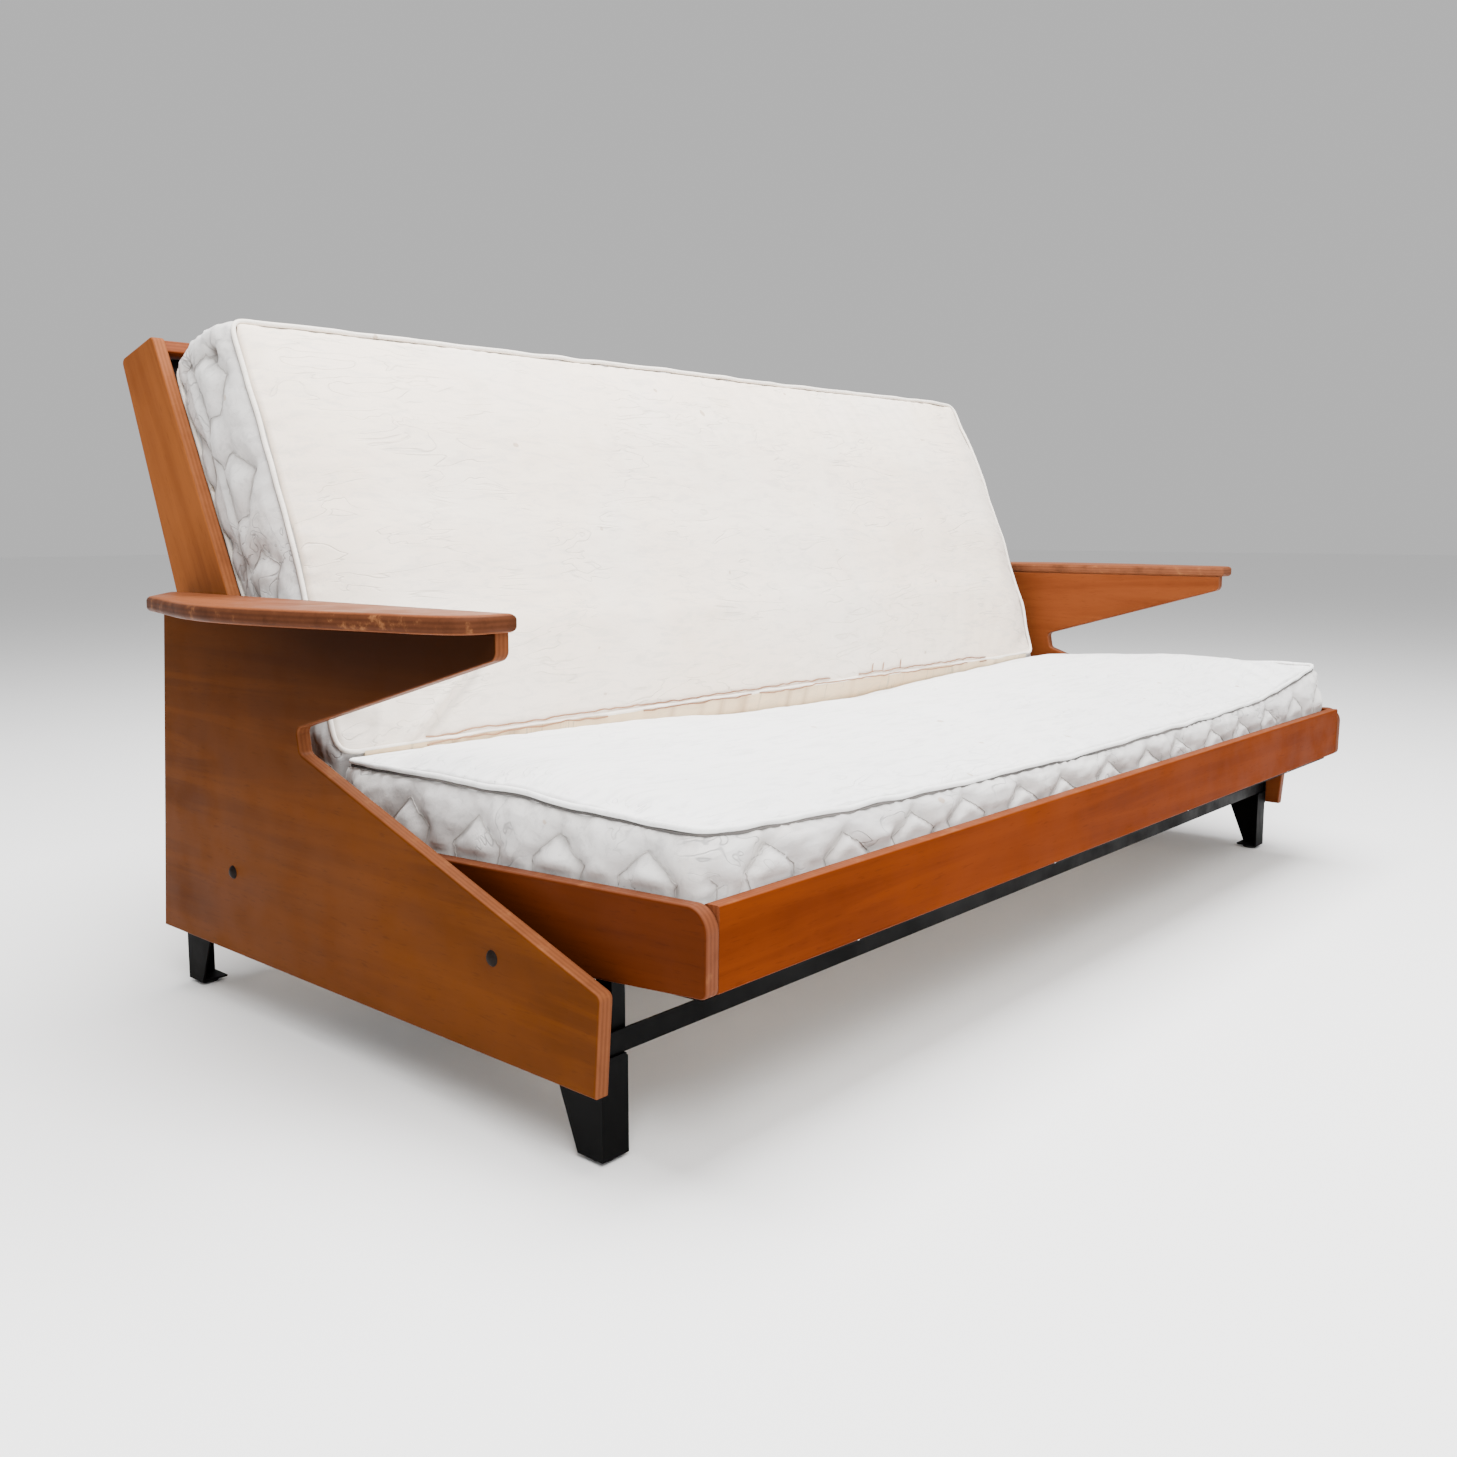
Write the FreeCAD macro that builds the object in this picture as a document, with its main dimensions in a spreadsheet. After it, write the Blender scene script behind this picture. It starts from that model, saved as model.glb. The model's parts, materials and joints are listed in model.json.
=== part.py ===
import FreeCAD, Part
import math
import os
import Sketcher

# Convertible futon sofa: two slatted trays hinged along the crease, carried by two swing
# arms on a steel chassis, between two plywood side panels with arm wings.
# X is the long way, -Y the front, +Z up; the origin is on the floor under the middle.
# Tray pieces are drawn in their tray's own frame, as if the bed were flat: the hinge axis
# is its X axis, the seat lies towards -Y and the back towards +Y.

SIZES = {
    # trays
    "tray_half": 970,            # middle to the outer face of a tray's side board
    "board_thick": 20,
    "seat_front_top": -741.5,
    "seat_front_low": -735.5,
    "seat_board_top": 91,
    "seat_board_low": -3,        # lower edge at the front
    "seat_board_rear_low": -31,  # lower edge at the hinge
    "board_end": 30,             # the boards stop this far from the hinge axis
    "back_board_top": 33,
    "back_tip_front": 854,
    "back_tip_rear": 875,
    "back_tip_low": -68,
    "back_heel_reach": 230,
    "back_heel_low": -127,
    "back_end_low": -50,
    "board_nose": 26,            # rounding of the seat boards' front corner
    "board_corner": 9,
    "rim": 3,                    # rounding of every plywood edge
    # hinge and swing arm
    "hinge_across": 142.3,
    "hinge_up": 189.4,
    "seat_slope": 2.67,          # seat's rise to the front, in degrees
    "back_slope": 63.2,          # back's rise, in degrees
    "arm_foot_across": -25.8,
    "arm_foot_up": 125,
    "bar_radius": 12,
    "pin_radius": 6,
    "running_gap": 0.05,
    "arm_plate": 6,
    "arm_eye": 20,
    "arm_heel": 22,
    "hinge_plate": 5,
    "hinge_eye": 20,
    "plate_reach": 180,
    "drum_radius": 20,
    "drum_wide": 11,
    "side_gap": 1,
    # slatted frames
    "tube": 20,
    "tube_wall": 1.5,
    "tube_top": 7,
    "tube_start": 90,            # hinge axis to the frame's inner cross tube
    "seat_frame_end": 714,
    "back_frame_end": 834,
    "slat_wide": 53,
    "slat_thick": 8,
    "slat_low": 9.5,
    "slat_pitch": 133,
    "slat_count": 14,
    "slat_gap": 2,
    "cap_wide": 61,
    "cap_long": 36,
    "cap_tall": 13.5,
    "plate_block": 115,
    # side panels and arm boards
    "panel_inner": 988,
    "panel_thick": 20,
    "panel_low": 95,
    "panel_back": 471,
    "panel_front": -471,
    "panel_nose": -480,
    "panel_nose_up": 208,
    "notch_low": 75,
    "notch_low_up": 399,
    "notch_high": 81,
    "notch_high_up": 431,
    "wing_front": -324,
    "wing_low": 546,
    "panel_top": 575,
    "panel_back_top": 425,
    "notch_round": 9,
    "wing_round": 13,
    "arm_board_thick": 21,
    "arm_board_inner": 986,
    "arm_board_front": -334,
    "arm_rear_flat": 16,
    "arm_rear_round": 8,
    "arm_board_rear": 424,
    "arm_rim": 7,
    "dowel_radius": 5,
    "dowel_long": 34,
    # chassis
    "frame_inner": 976,
    "frame_plate": 3,
    "frame_top": 236,
    "frame_end_up": 150,
    "frame_front": -447,
    "frame_rear": 466,
    "frame_flange": 38,
    "flange_up": 117,
    "flange_break_front": -90,
    "flange_break_rear": 40,
    "rail_across": 440,
    "rail_low": 120,
    "rail_tall": 26,
    "rail_flange": 28,
    "leg_wide": 40,
    "leg_long": 85,
    "leg_foot_long": 40,
    "leg_open": 20,
    "leg_wall": 3,
    "leg_low": 6,
    "glide_radius": 14,
    "support_across": 426,
    "support_near": 11,
    "support_far": 14,
    "support_wall": 3,
    "support_rise": 12,
    "support_open": 40,
    # panel bolts
    "bolt_up": 212,
    "bolt_rear": 259,
    "bolt_front": -306,
    "bolt_radius": 5,
    "bolt_hole": 5.5,
    "bolt_cap_radius": 9.5,
    "bolt_cap_tall": 5,
    "nut_radius": 9,
    "nut_thick": 5.5,
    "screw_radius": 2.5,
    "screw_long": 33,
    "screw_head_radius": 5,
    "screw_head_tall": 2.5,
    # mattress
    "mattress_half": 945,
    "mattress_low": 21.5,
    "seat_pad_front": -709,
    "seat_pad_front_top": 171,
    "seat_crease": -64,
    "seat_crease_up": 190,
    "back_pad_end": 800,
    "back_pad_top": 186,
    "back_crease": 155,
    "back_crease_up": 134,
    "back_belly": 330,
    "seat_crown": 8,
    "seat_shoulder_near": 24,
    "seat_shoulder_far": 30,
    "seat_front_drop": 12,
    "back_shoulder_drop": 30,
    "back_shoulder_far": 22,
    "pad_heel": 18,
    "strip_thick": 2,
    "strip_tall": 50,
    "strip_lean": 13.7,
}

doc = FreeCAD.newDocument("FutonSofaBed")
sheet = doc.addObject("Spreadsheet::Sheet", "Sizes")
for row, (alias, value) in enumerate(SIZES.items(), start=1):
    sheet.set(f"A{row}", alias)
    sheet.set(f"B{row}", str(value))
    sheet.setAlias(f"B{row}", alias)
doc.recompute()

pieces = []


def worth(expression):
    """Number that an expression of sheet cells gives."""
    value = sheet.evalExpression(expression)
    return float(getattr(value, "Value", value))


def bind(thing, prop, expression):
    thing.setExpression(prop, expression)


def set_frame(thing, tray):
    """Put a piece drawn in a tray's frame at that tray's place."""
    if tray is None:
        return
    slope = {"seat": "-seat_slope", "back": "back_slope"}[tray]
    angle = worth(slope)
    turn = FreeCAD.Rotation(FreeCAD.Vector(1, 0, 0), angle)
    spot = FreeCAD.Vector(0, worth("hinge_across"), worth("hinge_up"))
    thing.Placement = FreeCAD.Placement(spot, turn)
    if thing.TypeId != "Part::Feature":
        bind(thing, "Placement.Base.y", "Sizes.hinge_across")
        bind(thing, "Placement.Base.z", "Sizes.hinge_up")


def cells(expression):
    """Same expression, with each cell name made readable outside the sheet."""
    words = sorted(SIZES, key=len, reverse=True)
    result = ""
    rest = expression
    while rest:
        word = next((name for name in words if rest.startswith(name)), None)
        if word:
            result += "Sizes." + word
            rest = rest[len(word):]
        else:
            result += rest[0]
            rest = rest[1:]
    return result


def new_body(label, tray=None):
    body = doc.addObject("PartDesign::Body", label)
    body.Label = label
    set_frame(body, tray)
    pieces.append(body)
    return body


def new_sketch(body, plane, start="0"):
    """Empty sketch on one of the body's own planes, moved along the plane's normal."""
    sketch = body.newObject("Sketcher::SketchObject", body.Name + "_sketch")
    face = next(item for item in body.Origin.OriginFeatures if item.Role == plane)
    sketch.AttachmentSupport = [(face, "")]
    sketch.MapMode = "FlatFace"
    sketch.AttachmentOffset = FreeCAD.Placement(
        FreeCAD.Vector(0, 0, worth(start)), FreeCAD.Rotation())
    bind(sketch, "AttachmentOffset.Base.z", cells(start))
    return sketch


def pin_point(sketch, geometry, place, point):
    """Hold one point of the sketch at two sheet expressions."""
    for kind, expression in zip(("DistanceX", "DistanceY"), point):
        rule = Sketcher.Constraint(kind, -1, 1, geometry, place, worth(expression))
        index = sketch.addConstraint(rule)
        bind(sketch, f"Constraints[{index}]", cells(expression))


def draw_outline(sketch, points):
    """Closed outline of straight edges through the points."""
    first = sketch.GeometryCount
    spots = [FreeCAD.Vector(worth(across), worth(up), 0) for across, up in points]
    for here, there in zip(spots, spots[1:] + spots[:1]):
        sketch.addGeometry(Part.LineSegment(here, there), False)
    for step, point in enumerate(points):
        follower = first + (step + 1) % len(points)
        sketch.addConstraint(Sketcher.Constraint("Coincident", first + step, 2, follower, 1))
        pin_point(sketch, first + step, 1, point)


def draw_rectangle(sketch, low, high):
    corners = [low, (high[0], low[1]), high, (low[0], high[1])]
    draw_outline(sketch, corners)


def draw_circle(sketch, centre, radius):
    spot = FreeCAD.Vector(worth(centre[0]), worth(centre[1]), 0)
    index = sketch.addGeometry(
        Part.Circle(spot, FreeCAD.Vector(0, 0, 1), worth(radius)), False)
    pin_point(sketch, index, 3, centre)
    rule = sketch.addConstraint(Sketcher.Constraint("Radius", index, worth(radius)))
    bind(sketch, f"Constraints[{rule}]", cells(radius))


def pad(body, sketch, length):
    feature = body.newObject("PartDesign::Pad", body.Name + "_pad")
    feature.Profile = sketch
    feature.Length = worth(length)
    bind(feature, "Length", cells(length))
    doc.recompute()
    return feature


def pocket(body, sketch, depth, turned):
    """Cut the sketch out of the body, and stop if nothing was cut."""
    before = body.Shape.Volume
    feature = body.newObject("PartDesign::Pocket", body.Name + "_pocket")
    feature.Profile = sketch
    feature.Length = worth(depth)
    feature.Reversed = turned
    bind(feature, "Length", cells(depth))
    doc.recompute()
    if body.Shape.Volume >= before:
        raise RuntimeError(f"{body.Label}: pocket cuts nothing")
    return feature


def fillet(body, radius, wanted):
    """Round the edges of the body that the test picks."""
    base = body.Tip
    names = [f"Edge{n}" for n, edge in enumerate(base.Shape.Edges, start=1) if wanted(edge)]
    feature = body.newObject("PartDesign::Fillet", body.Name + "_round")
    feature.Base = (base, names)
    feature.Radius = worth(radius)
    bind(feature, "Radius", cells(radius))
    doc.recompute()
    return feature


def runs_along_x(edge):
    box = edge.BoundBox
    return box.XLength > 1 and box.YLength + box.ZLength < 1e-6


def corner_at(across, up):
    """Test for the edge along X through one corner of an outline."""
    def test(edge):
        box = edge.BoundBox
        near = abs(box.YMin - worth(across)) + abs(box.ZMin - worth(up)) < 0.01
        return runs_along_x(edge) and near
    return test


def rim_edge(edge):
    """Test for the edges of the two flat faces that stand across X."""
    return edge.BoundBox.XLength < 1e-6 and edge.Length > 0.5


def mirror_start(side, start, length):
    """Where an extrusion along +X starts, so that it lies from start outward on a side."""
    return f"{start}" if side > 0 else f"-({start}) - ({length})"


SIDES = {"left": -1, "right": 1}


def plywood(label, side, tray, outline, corners, start, thick, holes=(), rim="rim"):
    """Upright plywood board across X, with rounded corners and rounded edges."""
    body = new_body(label, tray)
    sketch = new_sketch(body, "YZ_Plane", mirror_start(side, start, thick))
    draw_outline(sketch, outline)
    pad(body, sketch, thick)
    shift = body.Placement
    body.Placement = FreeCAD.Placement()
    for point, radius in corners:
        fillet(body, radius, corner_at(*point))
    fillet(body, rim, rim_edge)
    for centre, radius in holes:
        cutter = new_sketch(body, "YZ_Plane", mirror_start(side, start, thick))
        draw_circle(cutter, centre, radius)
        pocket(body, cutter, thick, True)
    body.Placement = shift
    return body


def across_bar(label, tray, outline, half):
    """Bar along X from -half to +half with the outline as its section."""
    body = new_body(label, tray)
    sketch = new_sketch(body, "YZ_Plane", f"-({half})")
    draw_outline(sketch, outline)
    pad(body, sketch, f"2 * ({half})")
    return body


def side_panel(name, side):
    outline = [
        ("panel_back", "panel_low"),
        ("panel_front", "panel_low"),
        ("panel_nose", "panel_nose_up"),
        ("notch_low", "notch_low_up"),
        ("notch_high", "notch_high_up"),
        ("wing_front", "wing_low"),
        ("wing_front", "panel_top"),
        ("panel_back_top", "panel_top"),
    ]
    corners = [
        (outline[2], "board_corner"),
        (outline[3], "notch_round"),
        (outline[4], "notch_round"),
        (outline[5], "wing_round"),
    ]
    holes = [((across, "bolt_up"), "bolt_hole") for across in ("bolt_front", "bolt_rear")]
    plywood(f"side_panel_{name}", side, None, outline, corners,
            "panel_inner", "panel_thick", holes)


# Outer edge of the arm board from its front corner to its back one: along the sofa, then outward.
ARM_EDGE = [(-334, 1024), (-324, 1050), (-300, 1067), (-250, 1081), (-146, 1103), (-50, 1122), (62, 1132),
            (160, 1121), (250, 1098), (329, 1078)]


def arm_board(name, side):
    """Flat plywood board on the wing: straight inside, bulged outside, cut off at the back."""
    def spot(across, reach):
        return FreeCAD.Vector(side * reach, across, worth("panel_top"))

    inner = worth("arm_board_inner")
    edge_spots = [spot(*point) for point in ARM_EDGE]
    front_inner = spot(worth("arm_board_front"), inner)
    rear_inner = spot(worth("arm_board_rear"), inner)
    rear_outer = spot(worth("arm_board_rear"), inner + worth("arm_rear_flat"))
    outer = Part.BSplineCurve()
    outer.interpolate(edge_spots)
    edges = [
        Part.LineSegment(front_inner, edge_spots[0]).toShape(),
        outer.toShape(),
        Part.LineSegment(edge_spots[-1], rear_outer).toShape(),
        Part.LineSegment(rear_outer, rear_inner).toShape(),
        Part.LineSegment(rear_inner, front_inner).toShape(),
    ]
    face = Part.Face(Part.Wire(edges))
    board = face.extrude(FreeCAD.Vector(0, 0, worth("arm_board_thick")))
    upright = [edge for edge in board.Edges
               if edge.BoundBox.ZLength > worth("arm_rim") and edge.CenterOfMass.y > 0
               and abs(edge.CenterOfMass.x) > inner + worth("arm_rear_flat") / 2]
    board = board.makeFillet(worth("arm_rear_round"), upright)
    rims = [edge for edge in board.Edges if edge.BoundBox.ZLength < 1e-6]
    board = board.makeFillet(worth("arm_rim"), rims)
    feature = doc.addObject("Part::Feature", f"arm_board_{name}")
    feature.Label = f"arm_board_{name}"
    feature.Shape = board
    pieces.append(feature)


def group(label, shapes, tray=None):
    """One node that holds several equal pieces as separate solids."""
    feature = doc.addObject("Part::Feature", label)
    feature.Label = label
    feature.Shape = Part.makeCompound(shapes)
    set_frame(feature, tray)
    pieces.append(feature)


def rod(radius, start, end, across, up):
    """Cylinder along X."""
    base = FreeCAD.Vector(min(start, end), across, up)
    return Part.makeCylinder(radius, abs(end - start), base, FreeCAD.Vector(1, 0, 0))


def arm_dowels():
    radius = worth("dowel_radius")
    length = worth("dowel_long")
    middle = worth("panel_inner + panel_thick / 2")
    low = worth("panel_top") - length / 2
    dowels = []
    for side in SIDES.values():
        for across in (-250, 50, 350):
            base = FreeCAD.Vector(side * middle, across, low)
            dowels.append(Part.makeCylinder(radius, length, base))
    group("arm_dowels", dowels)


def bolt_places():
    return [(side, worth(across)) for side in SIDES.values()
            for across in ("bolt_front", "bolt_rear")]


def domed_cap(side, across, up):
    """Low dome that covers a bolt head on the panel's outer face."""
    radius = worth("bolt_cap_radius")
    tall = worth("bolt_cap_tall")
    ball = (radius ** 2 + tall ** 2) / (2 * tall)
    outer = worth("panel_inner + panel_thick")
    sphere = Part.makeSphere(ball, FreeCAD.Vector(side * (outer + tall - ball), across, up))
    keeper = rod(radius + 1, side * outer, side * (outer + tall + 1), across, up)
    return sphere.common(keeper)


def panel_bolts():
    up = worth("bolt_up")
    start = worth("frame_inner - nut_thick")
    outer = worth("panel_inner + panel_thick")
    bolts = []
    for side, across in bolt_places():
        shank = rod(worth("bolt_radius"), side * start, side * outer, across, up)
        bolts.append(shank.fuse(domed_cap(side, across, up)).removeSplitter())
    group("panel_bolts", bolts)


def panel_spacers():
    up = worth("bolt_up")
    start = worth("frame_inner + frame_plate")
    rings = []
    for side, across in bolt_places():
        disc = rod(14, side * start, side * worth("panel_inner"), across, up)
        hole = rod(worth("bolt_hole"), side * (start - 1), side * worth("panel_inner + 1"),
                   across, up)
        rings.append(disc.cut(hole))
    group("panel_spacers", rings)


def panel_nuts():
    up = worth("bolt_up")
    thick = worth("nut_thick")
    start = worth("frame_inner - nut_thick")
    nuts = []
    for side, across in bolt_places():
        low = start if side > 0 else -start - thick
        corners = []
        for step in range(6):
            angle = math.radians(60 * step)
            corners.append(FreeCAD.Vector(low, across + worth("nut_radius") * math.cos(angle),
                                          up + worth("nut_radius") * math.sin(angle)))
        hexagon = Part.Face(Part.makePolygon(corners + corners[:1]))
        block = hexagon.extrude(FreeCAD.Vector(thick, 0, 0))
        hole = rod(worth("bolt_radius"), low - 1, low + thick + 1, across, up)
        nuts.append(block.cut(hole))
    group("panel_nuts", nuts)


def side_frame(name, side):
    """Upright steel plate beside the trays, with a flange turned in at its foot."""
    body = new_body(f"side_frame_{name}")
    plate = new_sketch(body, "YZ_Plane", mirror_start(side, "frame_inner", "frame_plate"))
    draw_outline(plate, [
        ("frame_front", "panel_low"),
        ("frame_rear", "panel_low"),
        ("frame_rear", "frame_end_up"),
        ("bolt_rear + 45", "frame_top"),
        ("bolt_front - 25", "frame_top"),
        ("frame_front", "frame_end_up"),
    ])
    for across in ("bolt_front", "bolt_rear"):
        draw_circle(plate, (across, "bolt_up"), "bolt_hole")
    draw_circle(plate, ("arm_foot_across", "arm_foot_up"), "bar_radius + running_gap")
    pad(body, plate, "frame_plate")
    reach = "frame_flange"
    flange = new_sketch(body, "YZ_Plane", mirror_start(side, "frame_inner - frame_flange", reach))
    draw_rectangle(flange, ("frame_front", "flange_up"), ("flange_break_front", "flange_up + frame_plate"))
    draw_rectangle(flange, ("flange_break_rear", "flange_up"), ("frame_rear", "flange_up + frame_plate"))
    pad(body, flange, reach)


def cross_rail(label, end):
    """Angle iron along X that joins the two side frames."""
    body = new_body(label)
    half = "frame_inner"
    edge = f"{end} * rail_across"
    outer = f"{end} * (rail_across + frame_plate)"
    inner = f"{end} * (rail_across - rail_flange)"
    sketch = new_sketch(body, "YZ_Plane", f"-{half}")
    draw_outline(sketch, [
        (outer, "rail_low"),
        (inner, "rail_low"),
        (inner, "rail_low + frame_plate"),
        (edge, "rail_low + frame_plate"),
        (edge, "rail_low + rail_tall"),
        (outer, "rail_low + rail_tall"),
    ])
    pad(body, sketch, f"2 * {half}")


def leg(name, side, place, end):
    """Tapered channel folded from sheet: outer wall, end wall and sole."""
    body = new_body(f"leg_{place}_{name}")
    edge = "frame_front" if end < 0 else "frame_rear"
    start = mirror_start(side, "frame_inner - leg_wide", "leg_wide")
    outline = new_sketch(body, "YZ_Plane", start)
    inward = f"{-end}"
    draw_outline(outline, [
        (edge, "leg_low"),
        (f"{edge} + {inward} * leg_foot_long", "leg_low"),
        (f"{edge} + {inward} * leg_long", "flange_up"),
        (edge, "flange_up"),
    ])
    pad(body, outline, "leg_wide")
    hollow_start = mirror_start(side, "frame_inner - leg_wide", "leg_wide - leg_wall")
    hollow = new_sketch(body, "YZ_Plane", hollow_start)
    draw_outline(hollow, [
        (f"{edge} + {inward} * leg_wall", "leg_low + leg_wall"),
        (f"{edge} + {inward} * (leg_long + leg_open)", "leg_low + leg_wall"),
        (f"{edge} + {inward} * (leg_long + leg_open)", "flange_up + leg_open"),
        (f"{edge} + {inward} * leg_wall", "flange_up + leg_open"),
    ])
    pocket(body, hollow, "leg_wide - leg_wall", True)


def foot_glides():
    radius = worth("glide_radius")
    reach = worth("frame_inner - leg_wide / 2")
    glides = []
    for side in SIDES.values():
        for across in (worth("frame_front + leg_foot_long / 2"),
                       worth("frame_rear - leg_foot_long / 2")):
            disc = Part.makeCylinder(radius, worth("leg_low"),
                                     FreeCAD.Vector(side * reach, across, 0))
            lower = [edge for edge in disc.Edges if edge.BoundBox.ZMax < 0.01]
            glides.append(disc.makeFillet(2, lower))
    group("foot_glides", glides)


def seat_support(name, side):
    """Upright angle on the front rail that the seat's side tube rests over."""
    body = new_body(f"seat_support_{name}")
    inner = "tray_half - board_thick - tube"
    sketch = new_sketch(body, "YZ_Plane", mirror_start(side, inner, "tube"))
    rest = "hinge_up + support_rise"
    draw_outline(sketch, [
        ("-support_across - support_near", "rail_low + frame_plate"),
        ("-support_across + support_far", "rail_low + frame_plate"),
        ("-support_across + support_far", rest),
        ("-support_across - support_near", rest),
    ])
    pad(body, sketch, "tube")
    hollow = new_sketch(body, "YZ_Plane", mirror_start(side, inner, "tube - frame_plate"))
    draw_outline(hollow, [
        ("-support_across - support_near + support_wall", "rail_low + frame_plate + support_wall"),
        ("-support_across + support_open", "rail_low + frame_plate + support_wall"),
        ("-support_across + support_open", f"{rest} - support_wall"),
        ("-support_across - support_near + support_wall", f"{rest} - support_wall"),
    ])
    pocket(body, hollow, "tube - frame_plate", True)


def torsion_bar():
    body = new_body("torsion_bar")
    half = "frame_inner + frame_plate"
    sketch = new_sketch(body, "YZ_Plane", f"-({half})")
    draw_circle(sketch, ("arm_foot_across", "arm_foot_up"), "bar_radius")
    pad(body, sketch, f"2 * ({half})")


# Places along X of the plates stacked on each hinge pin, from the tube inward.
TUBE_INNER = "tray_half - board_thick - tube"
SEAT_PLATE = f"{TUBE_INNER} - hinge_plate"
DRUM = f"{SEAT_PLATE} - drum_wide"
BACK_PLATE = f"{DRUM} - side_gap - hinge_plate"
SWING_ARM = f"{BACK_PLATE} - side_gap - arm_plate"


def swing_arm(name, side):
    """Flat steel arm with a round end about each pivot."""
    body = new_body(f"swing_arm_{name}")
    start = mirror_start(side, SWING_ARM, "arm_plate")
    foot = (worth("arm_foot_across"), worth("arm_foot_up"))
    head = (worth("hinge_across"), worth("hinge_up"))
    length = math.hypot(head[0] - foot[0], head[1] - foot[1])
    normal = (-(head[1] - foot[1]) / length, (head[0] - foot[0]) / length)
    shank = new_sketch(body, "YZ_Plane", start)
    across, up = normal
    draw_outline(shank, [
        (f"arm_foot_across - arm_heel * {across}", f"arm_foot_up - arm_heel * {up}"),
        (f"hinge_across - arm_eye * {across}", f"hinge_up - arm_eye * {up}"),
        (f"hinge_across + arm_eye * {across}", f"hinge_up + arm_eye * {up}"),
        (f"arm_foot_across + arm_heel * {across}", f"arm_foot_up + arm_heel * {up}"),
    ])
    pad(body, shank, "arm_plate")
    for centre, radius in ((("arm_foot_across", "arm_foot_up"), "arm_heel"),
                           (("hinge_across", "hinge_up"), "arm_eye")):
        disc = new_sketch(body, "YZ_Plane", start)
        draw_circle(disc, centre, radius)
        pad(body, disc, "arm_plate")
    for centre, radius in ((("arm_foot_across", "arm_foot_up"), "bar_radius"),
                           (("hinge_across", "hinge_up"), "pin_radius")):
        hole = new_sketch(body, "YZ_Plane", start)
        draw_circle(hole, centre, radius)
        pocket(body, hole, "arm_plate", True)


def hinge_pins():
    start = worth(f"{SWING_ARM} - 3")
    end = worth(f"{TUBE_INNER} - 0.5")
    place = (worth("hinge_across"), worth("hinge_up"))
    pins = []
    for side in SIDES.values():
        shank = rod(worth("pin_radius"), side * start, side * end, *place)
        head = rod(worth("pin_radius") + 4, side * (start - 4), side * start, *place)
        pins.append(shank.fuse(head).removeSplitter())
    group("hinge_pins", pins)


def hinge_plate(label, side, tray, start, spacer):
    """Steel lever from the hinge pin along a frame's side tube, with a spacer block on it."""
    body = new_body(label, tray)
    shift = body.Placement
    body.Placement = FreeCAD.Placement()
    end = -1 if tray == "seat" else 1
    place = mirror_start(side, start, "hinge_plate")
    arm = new_sketch(body, "YZ_Plane", place)
    near = f"{end} * 2"
    far = f"{end} * plate_reach"
    draw_outline(arm, [
        (near, "tube_top - tube"),
        (far, "tube_top - tube"),
        (far, "tube_top"),
        (near, "tube_top"),
    ])
    pad(body, arm, "hinge_plate")
    eye = new_sketch(body, "YZ_Plane", place)
    draw_circle(eye, ("0", "0"), "hinge_eye")
    pad(body, eye, "hinge_plate")
    if spacer:
        wide = f"{TUBE_INNER} - ({start}) - hinge_plate"
        block = new_sketch(body, "YZ_Plane",
                           mirror_start(side, f"{start} + hinge_plate", wide))
        draw_outline(block, [
            (f"{end} * plate_block", "tube_top - tube"),
            (far, "tube_top - tube"),
            (far, "tube_top"),
            (f"{end} * plate_block", "tube_top"),
        ])
        pad(body, block, wide)
    hole = new_sketch(body, "YZ_Plane", place)
    draw_circle(hole, ("0", "0"), "pin_radius + running_gap")
    pocket(body, hole, "hinge_plate", True)
    body.Placement = shift


def ratchet_drum(name, side):
    """Closed round housing of the automatic ratchet, beside the seat's hinge plate."""
    body = new_body(f"ratchet_drum_{name}", "seat")
    sketch = new_sketch(body, "YZ_Plane", mirror_start(side, DRUM, "drum_wide"))
    draw_circle(sketch, ("0", "0"), "drum_radius")
    draw_circle(sketch, ("0", "0"), "pin_radius + running_gap")
    pad(body, sketch, "drum_wide")


def tube_across(label, tray, near, far, half):
    """Square steel tube along X between the frame's sides."""
    body = new_body(label, tray)
    sketch = new_sketch(body, "YZ_Plane", f"-({half})")
    low = "tube_top - tube"
    draw_rectangle(sketch, (near, low), (far, "tube_top"))
    draw_rectangle(sketch, (f"{near} + tube_wall", f"{low} + tube_wall"),
                   (f"{far} - tube_wall", "tube_top - tube_wall"))
    pad(body, sketch, f"2 * ({half})")


def tube_along(label, side, tray, start, length):
    """Square steel tube along Y beside a tray's side board."""
    body = new_body(label, tray)
    sketch = new_sketch(body, "XZ_Plane", start)
    low = mirror_start(side, TUBE_INNER, "tube")
    bottom = "tube_top - tube"
    draw_rectangle(sketch, (low, bottom), (f"{low} + tube", "tube_top"))
    draw_rectangle(sketch, (f"{low} + tube_wall", f"{bottom} + tube_wall"),
                   (f"{low} + tube - tube_wall", "tube_top - tube_wall"))
    pad(body, sketch, length)


def slat_lefts():
    count = int(worth("slat_count"))
    pitch = worth("slat_pitch")
    return [(index - (count - 1) / 2) * pitch for index in range(count)]


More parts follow.
